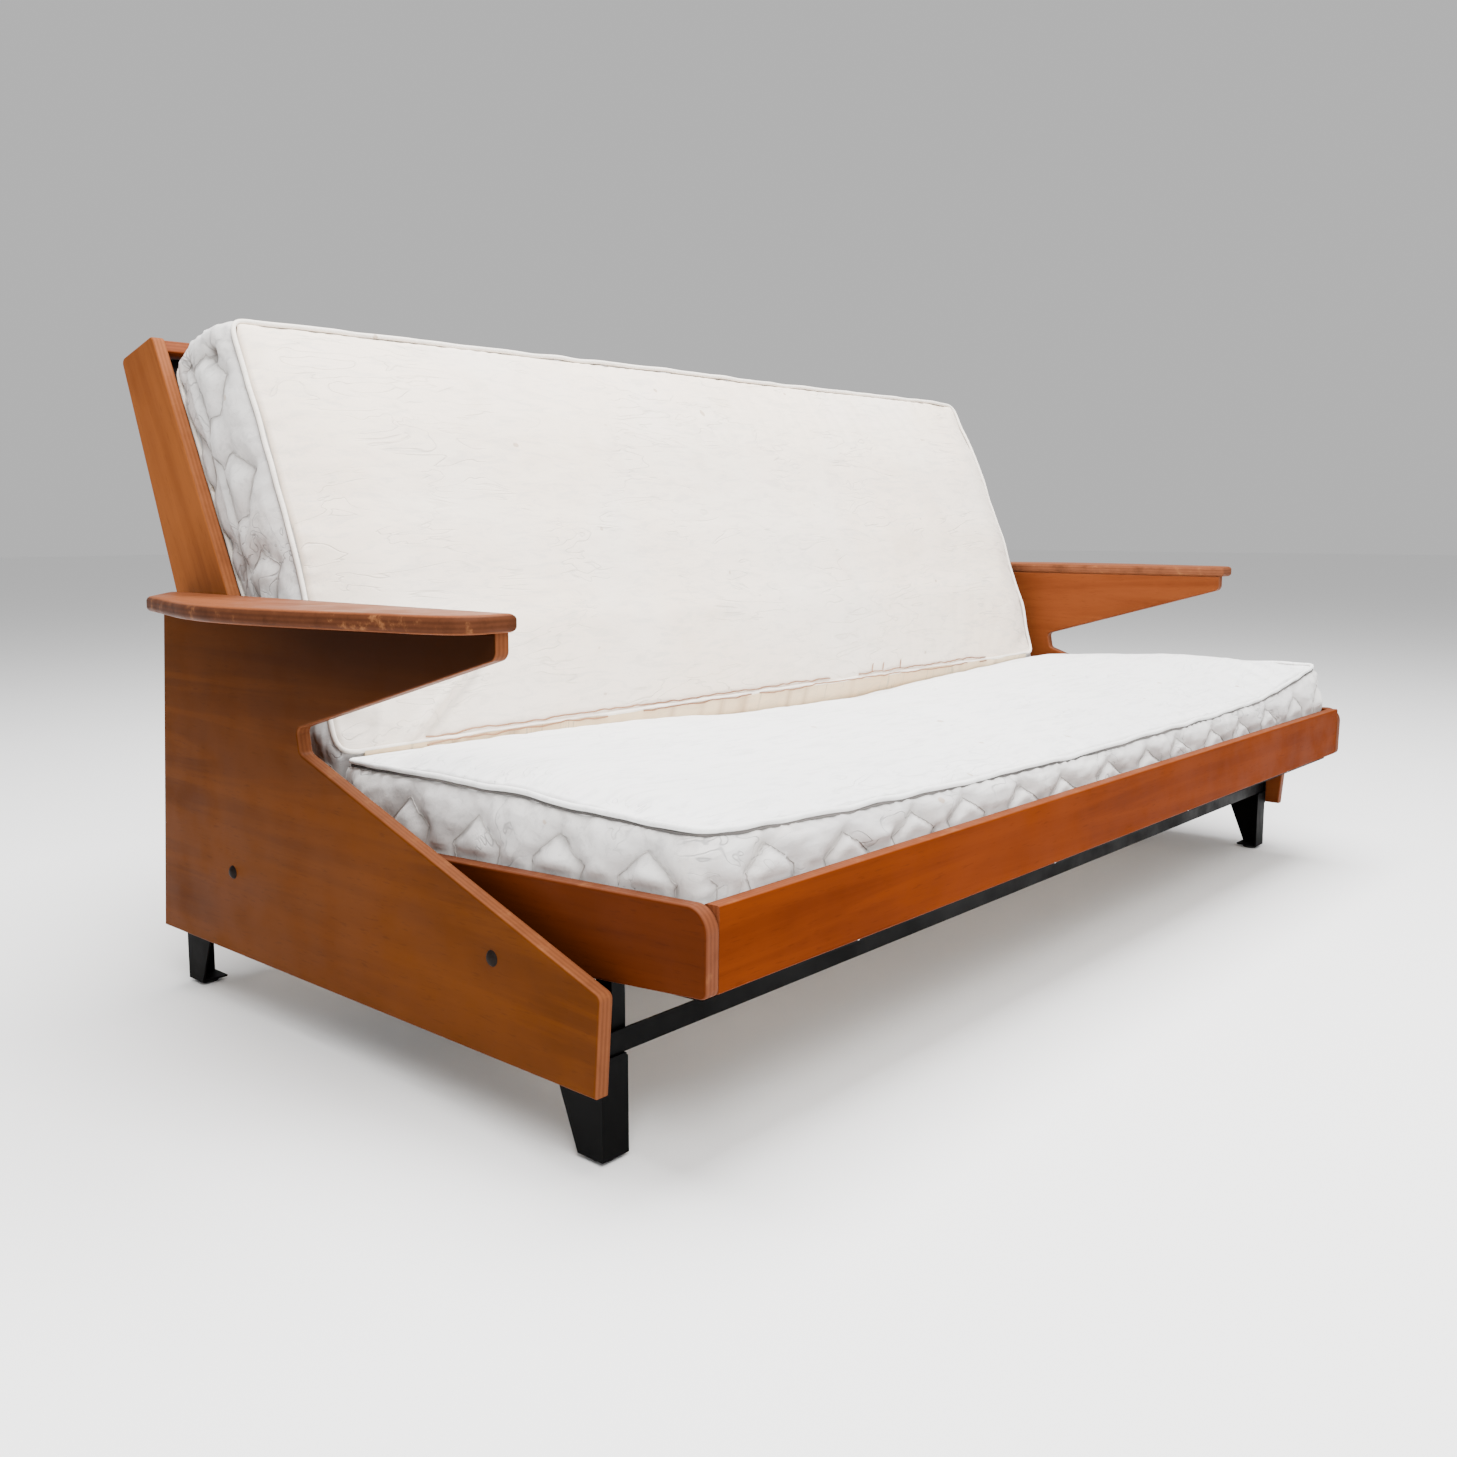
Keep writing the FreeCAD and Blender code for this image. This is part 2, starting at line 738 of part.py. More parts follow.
def tray_slats(tray, end_alias):
    """Sprung slats that run from the inner cross tube to the outer one, and their caps."""
    near = worth("tube_start + slat_gap")
    far = worth(f"{end_alias} - slat_gap")
    wide, thick, low = worth("slat_wide"), worth("slat_thick"), worth("slat_low")
    cap_wide, cap_long, cap_tall = worth("cap_wide"), worth("cap_long"), worth("cap_tall")
    sign = -1 if tray == "seat" else 1

    def block(middle, inner, outer, base, width, tall):
        start = min(sign * inner, sign * outer)
        corner = FreeCAD.Vector(middle - width / 2, start, base)
        return Part.makeBox(width, abs(outer - inner), tall, corner)

    slats, caps = [], []
    for middle in slat_lefts():
        slat = block(middle, near + 3, far - 3, low, wide, thick)
        slats.append(slat)
        for inner, outer in ((near, near + cap_long), (far - cap_long, far)):
            cap = block(middle, inner, outer, worth("tube_top"), cap_wide, cap_tall)
            caps.append(cap.cut(slat))
    group(f"{tray}_slats", slats, tray)
    group(f"{tray}_slat_caps", caps, tray)


def board_screws(tray, end_alias):
    """Pan-head screws through the frame's tubes into the boards."""
    sign = -1 if tray == "seat" else 1
    tube_middle = worth("tube_top - tube / 2")
    inner = worth(TUBE_INNER)
    screws = []

    def screw(head_start, direction):
        tall = worth("screw_head_tall")
        shank = Part.makeCylinder(worth("screw_radius"), worth("screw_long"), head_start, direction)
        head = Part.makeCylinder(worth("screw_head_radius"), tall,
                                 head_start - direction * tall, direction)
        return shank.fuse(head).removeSplitter()

    for side in SIDES.values():
        for reach in (250, 450, 650):
            place = FreeCAD.Vector(side * inner, sign * reach, tube_middle)
            screws.append(screw(place, FreeCAD.Vector(side, 0, 0)))
    edge = sign * (worth(end_alias) - worth("tube"))
    for across in (-700, -230, 230, 700):
        place = FreeCAD.Vector(across, edge, tube_middle)
        screws.append(screw(place, FreeCAD.Vector(0, sign, 0)))
    group(f"{tray}_board_screws", screws, tray)


def seat_tray():
    side_outline = [
        ("seat_front_top", "seat_board_top"),
        ("seat_front_low", "seat_board_low"),
        ("-board_end", "seat_board_rear_low"),
        ("-board_end", "seat_board_top"),
    ]
    corners = [(side_outline[0], "board_nose"), (side_outline[1], "board_corner")]
    for name, side in SIDES.items():
        plywood(f"seat_side_board_{name}", side, "seat", side_outline, corners,
                "tray_half - board_thick", "board_thick")
    front = [
        ("seat_front_top + 1", "seat_board_top - 1"),
        ("seat_front_low + 1", "seat_board_low + 1"),
        ("seat_front_low + board_thick", "seat_board_low + 1"),
        ("seat_front_top + board_thick + 2", "seat_board_top - 1"),
    ]
    body = across_bar("seat_front_board", "seat", front, "tray_half - board_thick")
    fillet_long_edges(body)


def fillet_long_edges(body):
    shift = body.Placement
    body.Placement = FreeCAD.Placement()
    fillet(body, "rim", runs_along_x)
    body.Placement = shift


def back_tray():
    side_outline = [
        ("board_end", "back_board_top"),
        ("board_end", "back_end_low"),
        ("back_heel_reach", "back_heel_low"),
        ("back_tip_rear", "back_tip_low"),
        ("back_tip_front", "back_board_top"),
    ]
    corners = [(side_outline[3], "board_corner"), (side_outline[4], "board_corner")]
    for name, side in SIDES.items():
        plywood(f"back_side_board_{name}", side, "back", side_outline, corners,
                "tray_half - board_thick", "board_thick")
    top = [
        ("back_tip_front - board_thick - 4", "back_board_top - 2"),
        ("back_tip_rear - board_thick - 4", "back_tip_low + 2"),
        ("back_tip_rear - 4", "back_tip_low + 2"),
        ("back_tip_front - 4", "back_board_top - 2"),
    ]
    body = across_bar("back_top_board", "back", top, "tray_half - board_thick")
    fillet_long_edges(body)


def slatted_frame(tray, end_alias):
    sign = -1 if tray == "seat" else 1
    inner = ("-tube_start - tube", "-tube_start") if sign < 0 else (
        "tube_start", "tube_start + tube")
    outer = (f"-{end_alias}", f"-{end_alias} + tube") if sign < 0 else (
        f"{end_alias} - tube", f"{end_alias}")
    plate = SEAT_PLATE if tray == "seat" else BACK_PLATE
    tube_across(f"{tray}_frame_hinge_tube", tray, *inner, plate)
    tube_across(f"{tray}_frame_outer_tube", tray, *outer, TUBE_INNER)
    length = f"{end_alias} - board_end"
    start = "board_end" if sign < 0 else f"-{end_alias}"
    for name, side in SIDES.items():
        tube_along(f"{tray}_frame_side_tube_{name}", side, tray, start, length)
    tray_slats(tray, end_alias)
    board_screws(tray, end_alias)


def mattress():
    """Two plain padded blocks that meet along the crease, and the strip that joins them."""
    seat = [
        ("-pad_heel", "mattress_low"),
        ("seat_crease", "seat_crease_up"),
        ("seat_crease - seat_shoulder_near", "seat_crease_up + seat_crown"),
        ("seat_pad_front + seat_shoulder_far", "seat_pad_front_top + seat_crown"),
        ("seat_pad_front", "seat_pad_front_top - seat_front_drop"),
        ("seat_pad_front", "mattress_low"),
    ]
    across_bar("mattress_seat", "seat", seat, "mattress_half")
    back = [
        ("pad_heel", "mattress_low"),
        ("back_pad_end", "mattress_low"),
        ("back_pad_end", "back_pad_top - back_shoulder_drop"),
        ("back_pad_end - back_shoulder_far", "back_pad_top"),
        ("back_belly", "back_pad_top"),
        ("back_crease", "back_crease_up"),
    ]
    across_bar("mattress_back", "back", back, "mattress_half")
    strip = [
        ("seat_crease + strip_thick", "seat_crease_up"),
        ("seat_crease + 2 * strip_thick", "seat_crease_up"),
        ("seat_crease + 2 * strip_thick + strip_lean", "seat_crease_up - strip_tall"),
        ("seat_crease + strip_thick + strip_lean", "seat_crease_up - strip_tall"),
    ]
    across_bar("mattress_strip", "seat", strip, "mattress_half")


def hinge_parts():
    torsion_bar()
    hinge_pins()
    for name, side in SIDES.items():
        swing_arm(name, side)
        hinge_plate(f"seat_hinge_plate_{name}", side, "seat", SEAT_PLATE, False)
        hinge_plate(f"back_hinge_plate_{name}", side, "back", BACK_PLATE, True)
        ratchet_drum(name, side)


def chassis():
    cross_rail("front_rail", -1)
    cross_rail("rear_rail", 1)
    for name, side in SIDES.items():
        side_frame(name, side)
        seat_support(name, side)
        leg(name, side, "front", -1)
        leg(name, side, "rear", 1)
    foot_glides()


def sides():
    for name, side in SIDES.items():
        side_panel(name, side)
        arm_board(name, side)
    arm_dowels()
    panel_bolts()
    panel_spacers()
    panel_nuts()


def write_parts():
    doc.recompute()
    for thing in doc.Objects:
        if "Invalid" in thing.State or "Error" in thing.State:
            raise RuntimeError(f"{thing.Label}: {thing.State}")
    os.makedirs("parts", exist_ok=True)
    for piece in pieces:
        shape = piece.Shape
        if shape.isNull() or not shape.isValid():
            raise RuntimeError(f"{piece.Label}: bad shape")
        shape.exportStep(f"parts/{piece.Label}.step")
        print(f"{piece.Label:28s} solids {len(shape.Solids):3d}  volume {shape.Volume / 1000:9.1f} cm3")


sides()
chassis()
hinge_parts()
seat_tray()
back_tray()
slatted_frame("seat", "seat_frame_end")
slatted_frame("back", "back_frame_end")
mattress()
write_parts()
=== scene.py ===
import json
import math
import random

import bpy
from mathutils import Matrix, Vector, kdtree, noise


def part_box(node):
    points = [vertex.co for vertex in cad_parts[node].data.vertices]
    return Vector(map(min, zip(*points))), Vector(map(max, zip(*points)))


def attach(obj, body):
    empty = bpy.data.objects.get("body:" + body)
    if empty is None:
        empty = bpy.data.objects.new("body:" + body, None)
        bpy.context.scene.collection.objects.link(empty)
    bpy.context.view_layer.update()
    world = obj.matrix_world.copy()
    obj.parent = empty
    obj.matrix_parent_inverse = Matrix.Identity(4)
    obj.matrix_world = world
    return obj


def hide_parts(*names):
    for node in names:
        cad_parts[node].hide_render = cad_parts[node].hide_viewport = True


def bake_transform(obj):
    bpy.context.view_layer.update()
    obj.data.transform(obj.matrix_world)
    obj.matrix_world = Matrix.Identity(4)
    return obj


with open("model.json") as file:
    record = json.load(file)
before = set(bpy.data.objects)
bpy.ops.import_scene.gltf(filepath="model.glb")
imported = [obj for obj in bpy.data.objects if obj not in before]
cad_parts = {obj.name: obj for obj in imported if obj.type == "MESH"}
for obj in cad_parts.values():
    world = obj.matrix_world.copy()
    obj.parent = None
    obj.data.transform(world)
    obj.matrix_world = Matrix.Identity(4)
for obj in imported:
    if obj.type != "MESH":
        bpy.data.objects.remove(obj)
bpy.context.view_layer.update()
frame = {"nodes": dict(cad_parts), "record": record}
RANDOM_SEED = 7

# Tray frames: drawn as if the bed were flat, hinge axis along X, seat towards -Y, back towards +Y.
HINGE = Vector(next(j["pos_m"] for j in frame["record"]["behaviour"]["joints"] if j["name"] == "back_fold"))
SEAT_SLOPE = math.radians(-2.67)
BACK_SLOPE = math.radians(63.2)
TRAY = {
    "seat": Matrix.Translation(HINGE) @ Matrix.Rotation(SEAT_SLOPE, 4, "X"),
    "back": Matrix.Translation(HINGE) @ Matrix.Rotation(BACK_SLOPE, 4, "X"),
}


def smooth(value):
    value = max(0.0, min(1.0, value))
    return value * value * (3 - 2 * value)


def lerp(first, second, share):
    return first + (second - first) * share


def bell(x, middle, width):
    return math.exp(-((x - middle) / width) ** 2)


# ---------------------------------------------------------------- camera, floor and light

def add_camera():
    """A crouching viewer's eye, in front of the left arm and looking towards the back's right end."""
    eye = Vector((-1.9228, -1.4557, 0.6903))
    yaw, pitch, roll = 0.84025, -0.11928, -0.00244
    forward = Vector((math.sin(yaw) * math.cos(pitch), math.cos(yaw) * math.cos(pitch), math.sin(pitch)))
    level = Vector((math.cos(yaw), -math.sin(yaw), 0))
    above = level.cross(forward)
    right = math.cos(roll) * level + math.sin(roll) * above
    up = -math.sin(roll) * level + math.cos(roll) * above
    data = bpy.data.cameras.new("camera")
    data.sensor_width = 36.0
    data.lens = 33.23
    data.shift_x = 0.0111
    data.shift_y = -0.0294
    data.clip_end = 60
    camera = bpy.data.objects.new("camera", data)
    turn = Matrix((right, up, -forward)).transposed()
    camera.matrix_world = Matrix.Translation(eye) @ turn.to_4x4()
    bpy.context.scene.collection.objects.link(camera)
    bpy.context.scene.camera = camera


def add_area_light(name, place, aim, size, power, color=(1, 1, 1)):
    data = bpy.data.lights.new(name, "AREA")
    data.shape = "RECTANGLE"
    data.size, data.size_y = size
    data.energy = power
    data.color = color
    light = bpy.data.objects.new(name, data)
    direction = Vector(aim) - Vector(place)
    light.rotation_euler = direction.to_track_quat("-Z", "Y").to_euler()
    light.location = place
    bpy.context.scene.collection.objects.link(light)


def add_studio():
    world = bpy.data.worlds.new("studio")
    bpy.context.scene.world = world
    world.use_nodes = True
    background = world.node_tree.nodes["Background"]
    background.inputs["Color"].default_value = (1.0, 1.0, 1.0, 1)
    background.inputs["Strength"].default_value = 0.6
    add_area_light("key", (-2.3, -2.8, 3.3), (0, 0, 0.4), (2.6, 1.8), 250, (1, 0.985, 0.965))
    add_area_light("top", (0, -0.3, 3.8), (0, 0, 0), (3.6, 3.0), 520)
    size = 30
    mesh = bpy.data.meshes.new("floor")
    corners = [(-size, -size, 0), (size, -size, 0), (size, size, 0), (-size, size, 0)]
    mesh.from_pydata(corners, [], [(0, 1, 2, 3)])
    floor = bpy.data.objects.new("floor", mesh)
    bpy.context.scene.collection.objects.link(floor)
    material = bpy.data.materials.new("floor")
    material.use_nodes = True
    shader = material.node_tree.nodes["Principled BSDF"]
    shader.inputs["Base Color"].default_value = (0.93, 0.93, 0.93, 1)
    shader.inputs["Roughness"].default_value = 0.9
    mesh.materials.append(material)


# ---------------------------------------------------------------- material nodes

class Paint:
    """Node tree of one material, with short calls for the nodes that these materials use."""

    def __init__(self, name, roughness, **sockets):
        self.material = bpy.data.materials.new(name)
        self.material.use_nodes = True
        self.tree = self.material.node_tree
        self.shader = self.tree.nodes["Principled BSDF"]
        self.shader.inputs["Roughness"].default_value = roughness
        for socket, value in sockets.items():
            self.shader.inputs[socket.replace("_", " ")].default_value = value

    def node(self, kind, **inputs):
        node = self.tree.nodes.new(kind)
        for key, value in inputs.items():
            self.feed(node, key.replace("_", " "), value)
        return node

    def feed(self, node, key, value):
        socket = node.inputs[int(key)] if key.isdigit() else node.inputs[key]
        if isinstance(value, bpy.types.NodeSocket):
            self.tree.links.new(value, socket)
        else:
            socket.default_value = value

    def place(self, turn=(0, 0, 0), scale=(1, 1, 1), move=(0, 0, 0)):
        """Object coordinates, turned first and then scaled and moved."""
        turned = self.node("ShaderNodeMapping")
        self.feed(turned, "Vector", self.node("ShaderNodeTexCoord").outputs["Object"])
        self.feed(turned, "Rotation", turn)
        scaled = self.node("ShaderNodeMapping")
        self.feed(scaled, "Vector", turned.outputs[0])
        self.feed(scaled, "Location", move)
        self.feed(scaled, "Scale", scale)
        return scaled.outputs[0]

    def noise(self, where, scale, detail=3.0, rough=0.5, warp=0.0):
        node = self.node("ShaderNodeTexNoise")
        self.feed(node, "Vector", where)
        self.feed(node, "Scale", scale)
        self.feed(node, "Detail", detail)
        self.feed(node, "Roughness", rough)
        self.feed(node, "Distortion", warp)
        return node.outputs["Fac"]

    def ramp(self, value, low, high, start=0.0, end=1.0):
        """Smooth step of a value from start at low to end at high."""
        node = self.node("ShaderNodeMapRange")
        node.interpolation_type = "SMOOTHSTEP"
        for key, number in (("Value", value), ("From Min", low), ("From Max", high),
                            ("To Min", start), ("To Max", end)):
            self.feed(node, key, number)
        return node.outputs[0]

    def math(self, operation, first, second=0.0, third=0.0):
        node = self.node("ShaderNodeMath")
        node.operation = operation
        for index, value in enumerate((first, second, third)):
            self.feed(node, str(index), value)
        return node.outputs[0]

    def axis(self, vector, name):
        return self.node("ShaderNodeSeparateXYZ", Vector=vector).outputs[name]

    def mix(self, factor, first, second):
        node = self.node("ShaderNodeMix")
        node.data_type = "RGBA"
        names = {"Factor": factor, "A": first, "B": second}
        for socket in node.inputs:
            if socket.name == "Factor" and socket.type == "VALUE":
                self.link_or_set(socket, names["Factor"])
            if socket.type == "RGBA" and socket.name in names:
                self.link_or_set(socket, names[socket.name])
        return next(out for out in node.outputs if out.type == "RGBA")

    def link_or_set(self, socket, value):
        if isinstance(value, bpy.types.NodeSocket):
            self.tree.links.new(value, socket)
        elif socket.type == "RGBA":
            socket.default_value = (*value, 1)
        else:
            socket.default_value = value

    def bump(self, height, strength, distance, under=None):
        node = self.node("ShaderNodeBump", Height=height, Strength=strength, Distance=distance)
        if under is not None:
            self.tree.links.new(under, node.inputs["Normal"])
        return node.outputs[0]

    def finish(self, color, roughness, normal):
        """Link what the nodes work out; the roughness stays the shader's own where it is None."""
        self.link_or_set(self.shader.inputs["Base Color"], color)
        if roughness is not None:
            self.tree.links.new(roughness, self.shader.inputs["Roughness"])
        self.tree.links.new(normal, self.shader.inputs["Normal"])
        return self.material


PLY_THICK = 0.00286
BARE_PLY = (0.40, 0.14, 0.07)
CHIPPED_PLY = (0.26, 0.105, 0.04)


def plywood(name, veneer, dark, thick_axis, grain_axis, slope, ply_shift, seed, worn=0.35,
            edge_tone=0.8, shine=0.02, arm_shade_height=0.0):
    """Varnished plywood: grained faces, and plies that show on edges across thick_axis.

    The last argument is the height of an arm board's underside. The face is painted darker towards it as
    painted shade under the board, or 0 for none.
    """
    paint = Paint(name, 0.42, Specular_IOR_Level=shine)
    turn = (-slope, 0, 0)
    along = {"X": (1.2, 26, 26), "Y": (26, 1.2, 26)}[grain_axis]
    flecks = {"X": (45, 420, 420), "Y": (420, 45, 420)}[grain_axis]
    grain = paint.noise(paint.place(turn, along, (seed, 0, 0)), 1.0, 5.0, 0.62, 1.1)
    cloud = paint.noise(paint.place(turn, (1, 1, 1), (seed, 3, 0)), 3.2, 4.0, 0.55, 0.4)
    fleck = paint.noise(paint.place(turn, flecks, (seed, 0, 5)), 1.0, 1.0, 0.5)
    face = paint.mix(paint.ramp(grain, 0.36, 0.66), dark, veneer)
    face = paint.mix(paint.ramp(cloud, 0.35, 0.72, 0.0, 0.55), face, tuple(c * 1.25 for c in veneer))
    face = paint.mix(paint.ramp(fleck, 0.62, 0.75, 0.0, 0.30), face, tuple(c * 0.62 for c in dark))

    coordinates = paint.node("ShaderNodeTexCoord")
    normal = paint.node("ShaderNodeMapping")
    paint.feed(normal, "Vector", coordinates.outputs["Normal"])
    paint.feed(normal, "Rotation", turn)
    facing = paint.math("ABSOLUTE", paint.axis(normal.outputs[0], thick_axis))
    edge = paint.ramp(facing, 0.55, 0.93, 1.0, 0.0)

    depth = paint.axis(paint.place(turn), thick_axis)
    plies = paint.math("MULTIPLY_ADD", depth, 1 / PLY_THICK, ply_shift)
    wobble = paint.noise(paint.place(turn, (5, 5, 5)), 4.0, 2.0)
    plies = paint.math("ADD", plies, paint.math("MULTIPLY", wobble, 0.5))
    stripe = paint.math("PINGPONG", plies, 1.0)
    pale = tuple(edge_tone * lerp(c, bare, 0.30) for c, bare in zip(veneer, BARE_PLY))
    core = tuple(c * 0.80 for c in pale)
    edging = paint.mix(paint.ramp(stripe, 0.25, 0.75), core, pale)
    edge_wear = paint.noise(paint.place(turn, (9, 9, 9), (seed, 0, 2)), 3.0, 6.0, 0.7)
    edging = paint.mix(paint.ramp(edge_wear, 0.45, 0.75, 0.0, worn), edging, tuple(c * 0.5 for c in core))
    edging = paint.mix(paint.ramp(edge_wear, 0.45, 0.27, 0.0, worn), edging, CHIPPED_PLY)
    # Painted shade under the arm board: the face darkens towards the board's underside, most towards the
    # front.
    if arm_shade_height:
        high = paint.ramp(paint.axis(paint.place(), "Z"), arm_shade_height - 0.17, arm_shade_height - 0.02)
        front = paint.ramp(paint.axis(paint.place(), "Y"), -0.05, 0.42, 1.0, 0.25)
        face = paint.mix(paint.math("MULTIPLY", high, front), face, tuple(c * 0.30 for c in dark))
    color = paint.mix(edge, face, edging)

    dust = paint.noise(paint.place(turn, (1, 1, 1), (seed, 1, 1)), 14.0, 5.0, 0.6)
    rough = paint.ramp(dust, 0.3, 0.75, 0.34, 0.52)
    relief = paint.math("MULTIPLY_ADD", stripe, 0.6, grain)
    relief = paint.math("ADD", relief, paint.math("MULTIPLY", fleck, 0.4))
    return paint.finish(color, rough, paint.bump(relief, 0.18, 0.0006))


def black_paint():
    """Dull black paint on steel tube, scuffed to grey in places."""
    paint = Paint("black_steel", 0.5, Specular_IOR_Level=0.03)
    where = paint.place()
    speckle = paint.noise(where, 90.0, 4.0, 0.6)
    scuff = paint.noise(where, 9.0, 6.0, 0.65)
    black, scuffed = (0.0015, 0.0015, 0.0015), (0.010, 0.009, 0.008)
    color = paint.mix(paint.ramp(scuff, 0.55, 0.8, 0.0, 0.5), black, scuffed)
    rough = paint.ramp(scuff, 0.3, 0.7, 0.32, 0.6)
    return paint.finish(color, rough, paint.bump(speckle, 0.08, 0.0004))


def bare_metal(name, color, roughness):
    paint = Paint(name, roughness, Metallic=1.0)
    where = paint.place()
    stain = paint.noise(where, 60.0, 5.0, 0.6)
    tone = paint.mix(paint.ramp(stain, 0.4, 0.75, 0.0, 0.6), color, tuple(c * 0.45 for c in color))
    rough = paint.ramp(stain, 0.3, 0.7, roughness - 0.08, roughness + 0.2)
    return paint.finish(tone, rough, paint.bump(stain, 0.1, 0.0003))


def beech_slat(name, slope):
    """Pale sprung slats, with the grain along them."""
    paint = Paint(name, 0.5)
    turn = (-slope, 0, 0)
    grain = paint.noise(paint.place(turn, (60, 2.5, 60)), 1.0, 4.0, 0.6, 0.8)
    fleck = paint.noise(paint.place(turn, (600, 60, 600)), 1.0, 1.0)
    color = paint.mix(paint.ramp(grain, 0.35, 0.68), (0.50, 0.33, 0.18), (0.68, 0.49, 0.30))
    color = paint.mix(paint.ramp(fleck, 0.6, 0.75, 0.0, 0.35), color, (0.35, 0.20, 0.10))
    return paint.finish(color, paint.ramp(grain, 0.3, 0.7, 0.42, 0.58), paint.bump(grain, 0.1, 0.0005))


def moulded_plastic(name, color):
    paint = Paint(name, 0.45, Specular_IOR_Level=0.06)
    grain = paint.noise(paint.place(), 700.0, 2.0)
    tone = paint.mix(paint.ramp(grain, 0.4, 0.7), color, tuple(c * 1.6 for c in color))
    return paint.finish(tone, paint.ramp(grain, 0.3, 0.7, 0.45, 0.62), paint.bump(grain, 0.15, 0.0003))


THREAD_PITCH = 0.0016


def thread_weave(paint, turn):
    """Height of the woven threads: ribs along all three axes, so that every face shows two."""
    thread = paint.place(turn, (math.pi / THREAD_PITCH,) * 3)
    ribs = [paint.math("ABSOLUTE", paint.math("SINE", paint.axis(thread, axis))) for axis in "XYZ"]
    return paint.math("ADD", paint.math("ADD", ribs[0], ribs[1]), ribs[2])


def sewn_tuck(paint, where, centre):
    """Strengths of the pleats that run into a tuck in the YZ plane, and of the hollow at its middle."""
    near = paint.node("ShaderNodeMapping")
    paint.feed(near, "Vector", paint.node("ShaderNodeTexCoord").outputs["Object"])
    paint.feed(near, "Location", (0, -centre[1], -centre[2]))
    paint.feed(near, "Scale", (0, 1, 1))
    out = paint.node("ShaderNodeVectorMath")
    out.operation = "LENGTH"
    paint.feed(out, "0", near.outputs[0])
    away = out.outputs["Value"]
    angle = paint.math("ARCTAN2", paint.axis(near.outputs[0], "Z"), paint.axis(near.outputs[0], "Y"))
    turns = paint.math("MULTIPLY", angle, 6.0)
    spoke = paint.math("SINE", paint.math("MULTIPLY_ADD", paint.noise(where, 30.0), 9.0, turns))
    pleats = paint.math("MULTIPLY", paint.ramp(spoke, 0.45, 1.0), paint.ramp(away, 0.010, 0.042, 1.0, 0.0))
    return pleats, paint.ramp(away, 0.003, 0.015, 1.0, 0.0)


def canvas(name, slope, base, tint, stain_level, crumple=0.5, dirt_and_shade=(0.20, 0.175, 0.155),
           crease=0.0, crease_scale=(5, 22, 22), tucks=()):
    """Cotton canvas: fine weave, creases, faint stains, specks and sewn tucks. Painted shade darkens its
    wrinkles, its crease lines, the pleats into each tuck and each tuck's hollow. A per-point attribute adds
    grime with painted shade in its seams, folds and tuck hollows.
    """
    stain, fleck, hollow_shade = (0.70, 0.55, 0.42), (0.40, 0.27, 0.18), (0.09, 0.07, 0.06)
    paint = Paint(name, 0.88, Sheen_Weight=0.1, Sheen_Roughness=0.5)
    turn = (-slope, 0, 0)
    where = paint.place(turn)
    cloud = paint.noise(where, 2.1, 3.0, 0.5, 0.5)
    patch = paint.noise(where, 5.0, 6.0, 0.65, 0.3)
    speck = paint.noise(where, 42.0, 0.0)
    color = paint.mix(paint.ramp(cloud, 0.38, 0.70), base, tint)
    color = paint.mix(paint.ramp(patch, 0.52, 0.80, 0.0, stain_level), color, stain)
    # Painted shade: thin darker lines standing for the shade of fine wrinkles.
    wrinkle_shade = paint.noise(paint.place(turn, (16, 70, 70)), 1.0, 6.0, 0.72, 0.8)
    color = paint.mix(paint.ramp(wrinkle_shade, 0.47, 0.66, 0.0, 0.5), color, tuple(c * 0.74 for c in tint))
    color = paint.mix(paint.ramp(speck, 0.84, 0.87, 0.0, 0.6), color, fleck)
    # Painted shade: crease lines and the pleats into each tuck are darkened towards this, and each tuck's
    # hollow is painted near black.
    dark = tuple(c * 0.62 for c in tint)
    creases = 0.0
    if crease:
        folded = paint.noise(paint.place(turn, crease_scale), 1.0, 2.0, 0.55, 1.4)
        line = paint.ramp(paint.math("ABSOLUTE", paint.math("SUBTRACT", folded, 0.5)), 0.0, 0.019, 1.0, 0.0)
        often = paint.ramp(paint.noise(where, 7.0, 2.0), 0.45, 0.60)
        creases = paint.math("MULTIPLY", line, often)
        color = paint.mix(paint.math("MULTIPLY", creases, crease), color, dark)
    for centre in tucks:
        pleats, hollow = sewn_tuck(paint, where, centre)
        creases = paint.math("ADD", creases, pleats)
        color = paint.mix(paint.math("MULTIPLY", pleats, 0.7), color, dark)
        color = paint.mix(paint.math("MULTIPLY", hollow, 0.92), color, hollow_shade)
    # Darkened by a per-point attribute that the mesh code writes: grime, and painted shade along seams,
    # folds and tuck hollows.
    soil = paint.node("ShaderNodeAttribute")
    soil.attribute_name = "soil"
    color = paint.mix(soil.outputs["Fac"], color, dirt_and_shade)
    broad = paint.noise(paint.place(turn, (5, 9, 9)), 1.0, 4.0, 0.5, 1.2)
    fine = paint.noise(paint.place(turn, (14, 45, 45)), 1.0, 6.0, 0.62, 0.6)
    normal = paint.bump(broad, crumple, 0.005)
    normal = paint.bump(fine, 0.4 * crumple, 0.002, normal)
    if crease or tucks:
        normal = paint.bump(paint.math("MULTIPLY", creases, -1.0), 0.6, 0.0015, normal)
    normal = paint.bump(thread_weave(paint, turn), 0.10, 0.0005, normal)
    return paint.finish(color, None, normal)


# ---------------------------------------------------------------- mattress halves

SEAM_STEP = 0.0125
BORDER_ROWS = 14
PANEL_CORNER = 0.018
BORDER_TALL = 0.150
BORDER_BULGE = 0.008
CROWN_EDGE = 0.10
UNEVEN = 0.0025

# Material slots of a pad, and where the cloth map puts the faces that nobody sees.
PANEL, BORDER = 0, 1
LOW_PANEL_MAP = 3
NEAR_SIDE_MAP = 9
MAP_GAP = 0.1


def lump(place, size, seed):
    """Smooth noise from -1 to 1 with features about size metres across."""
    return noise.noise(Vector(place) / size + Vector((seed, seed * 1.7, seed * 0.6)))


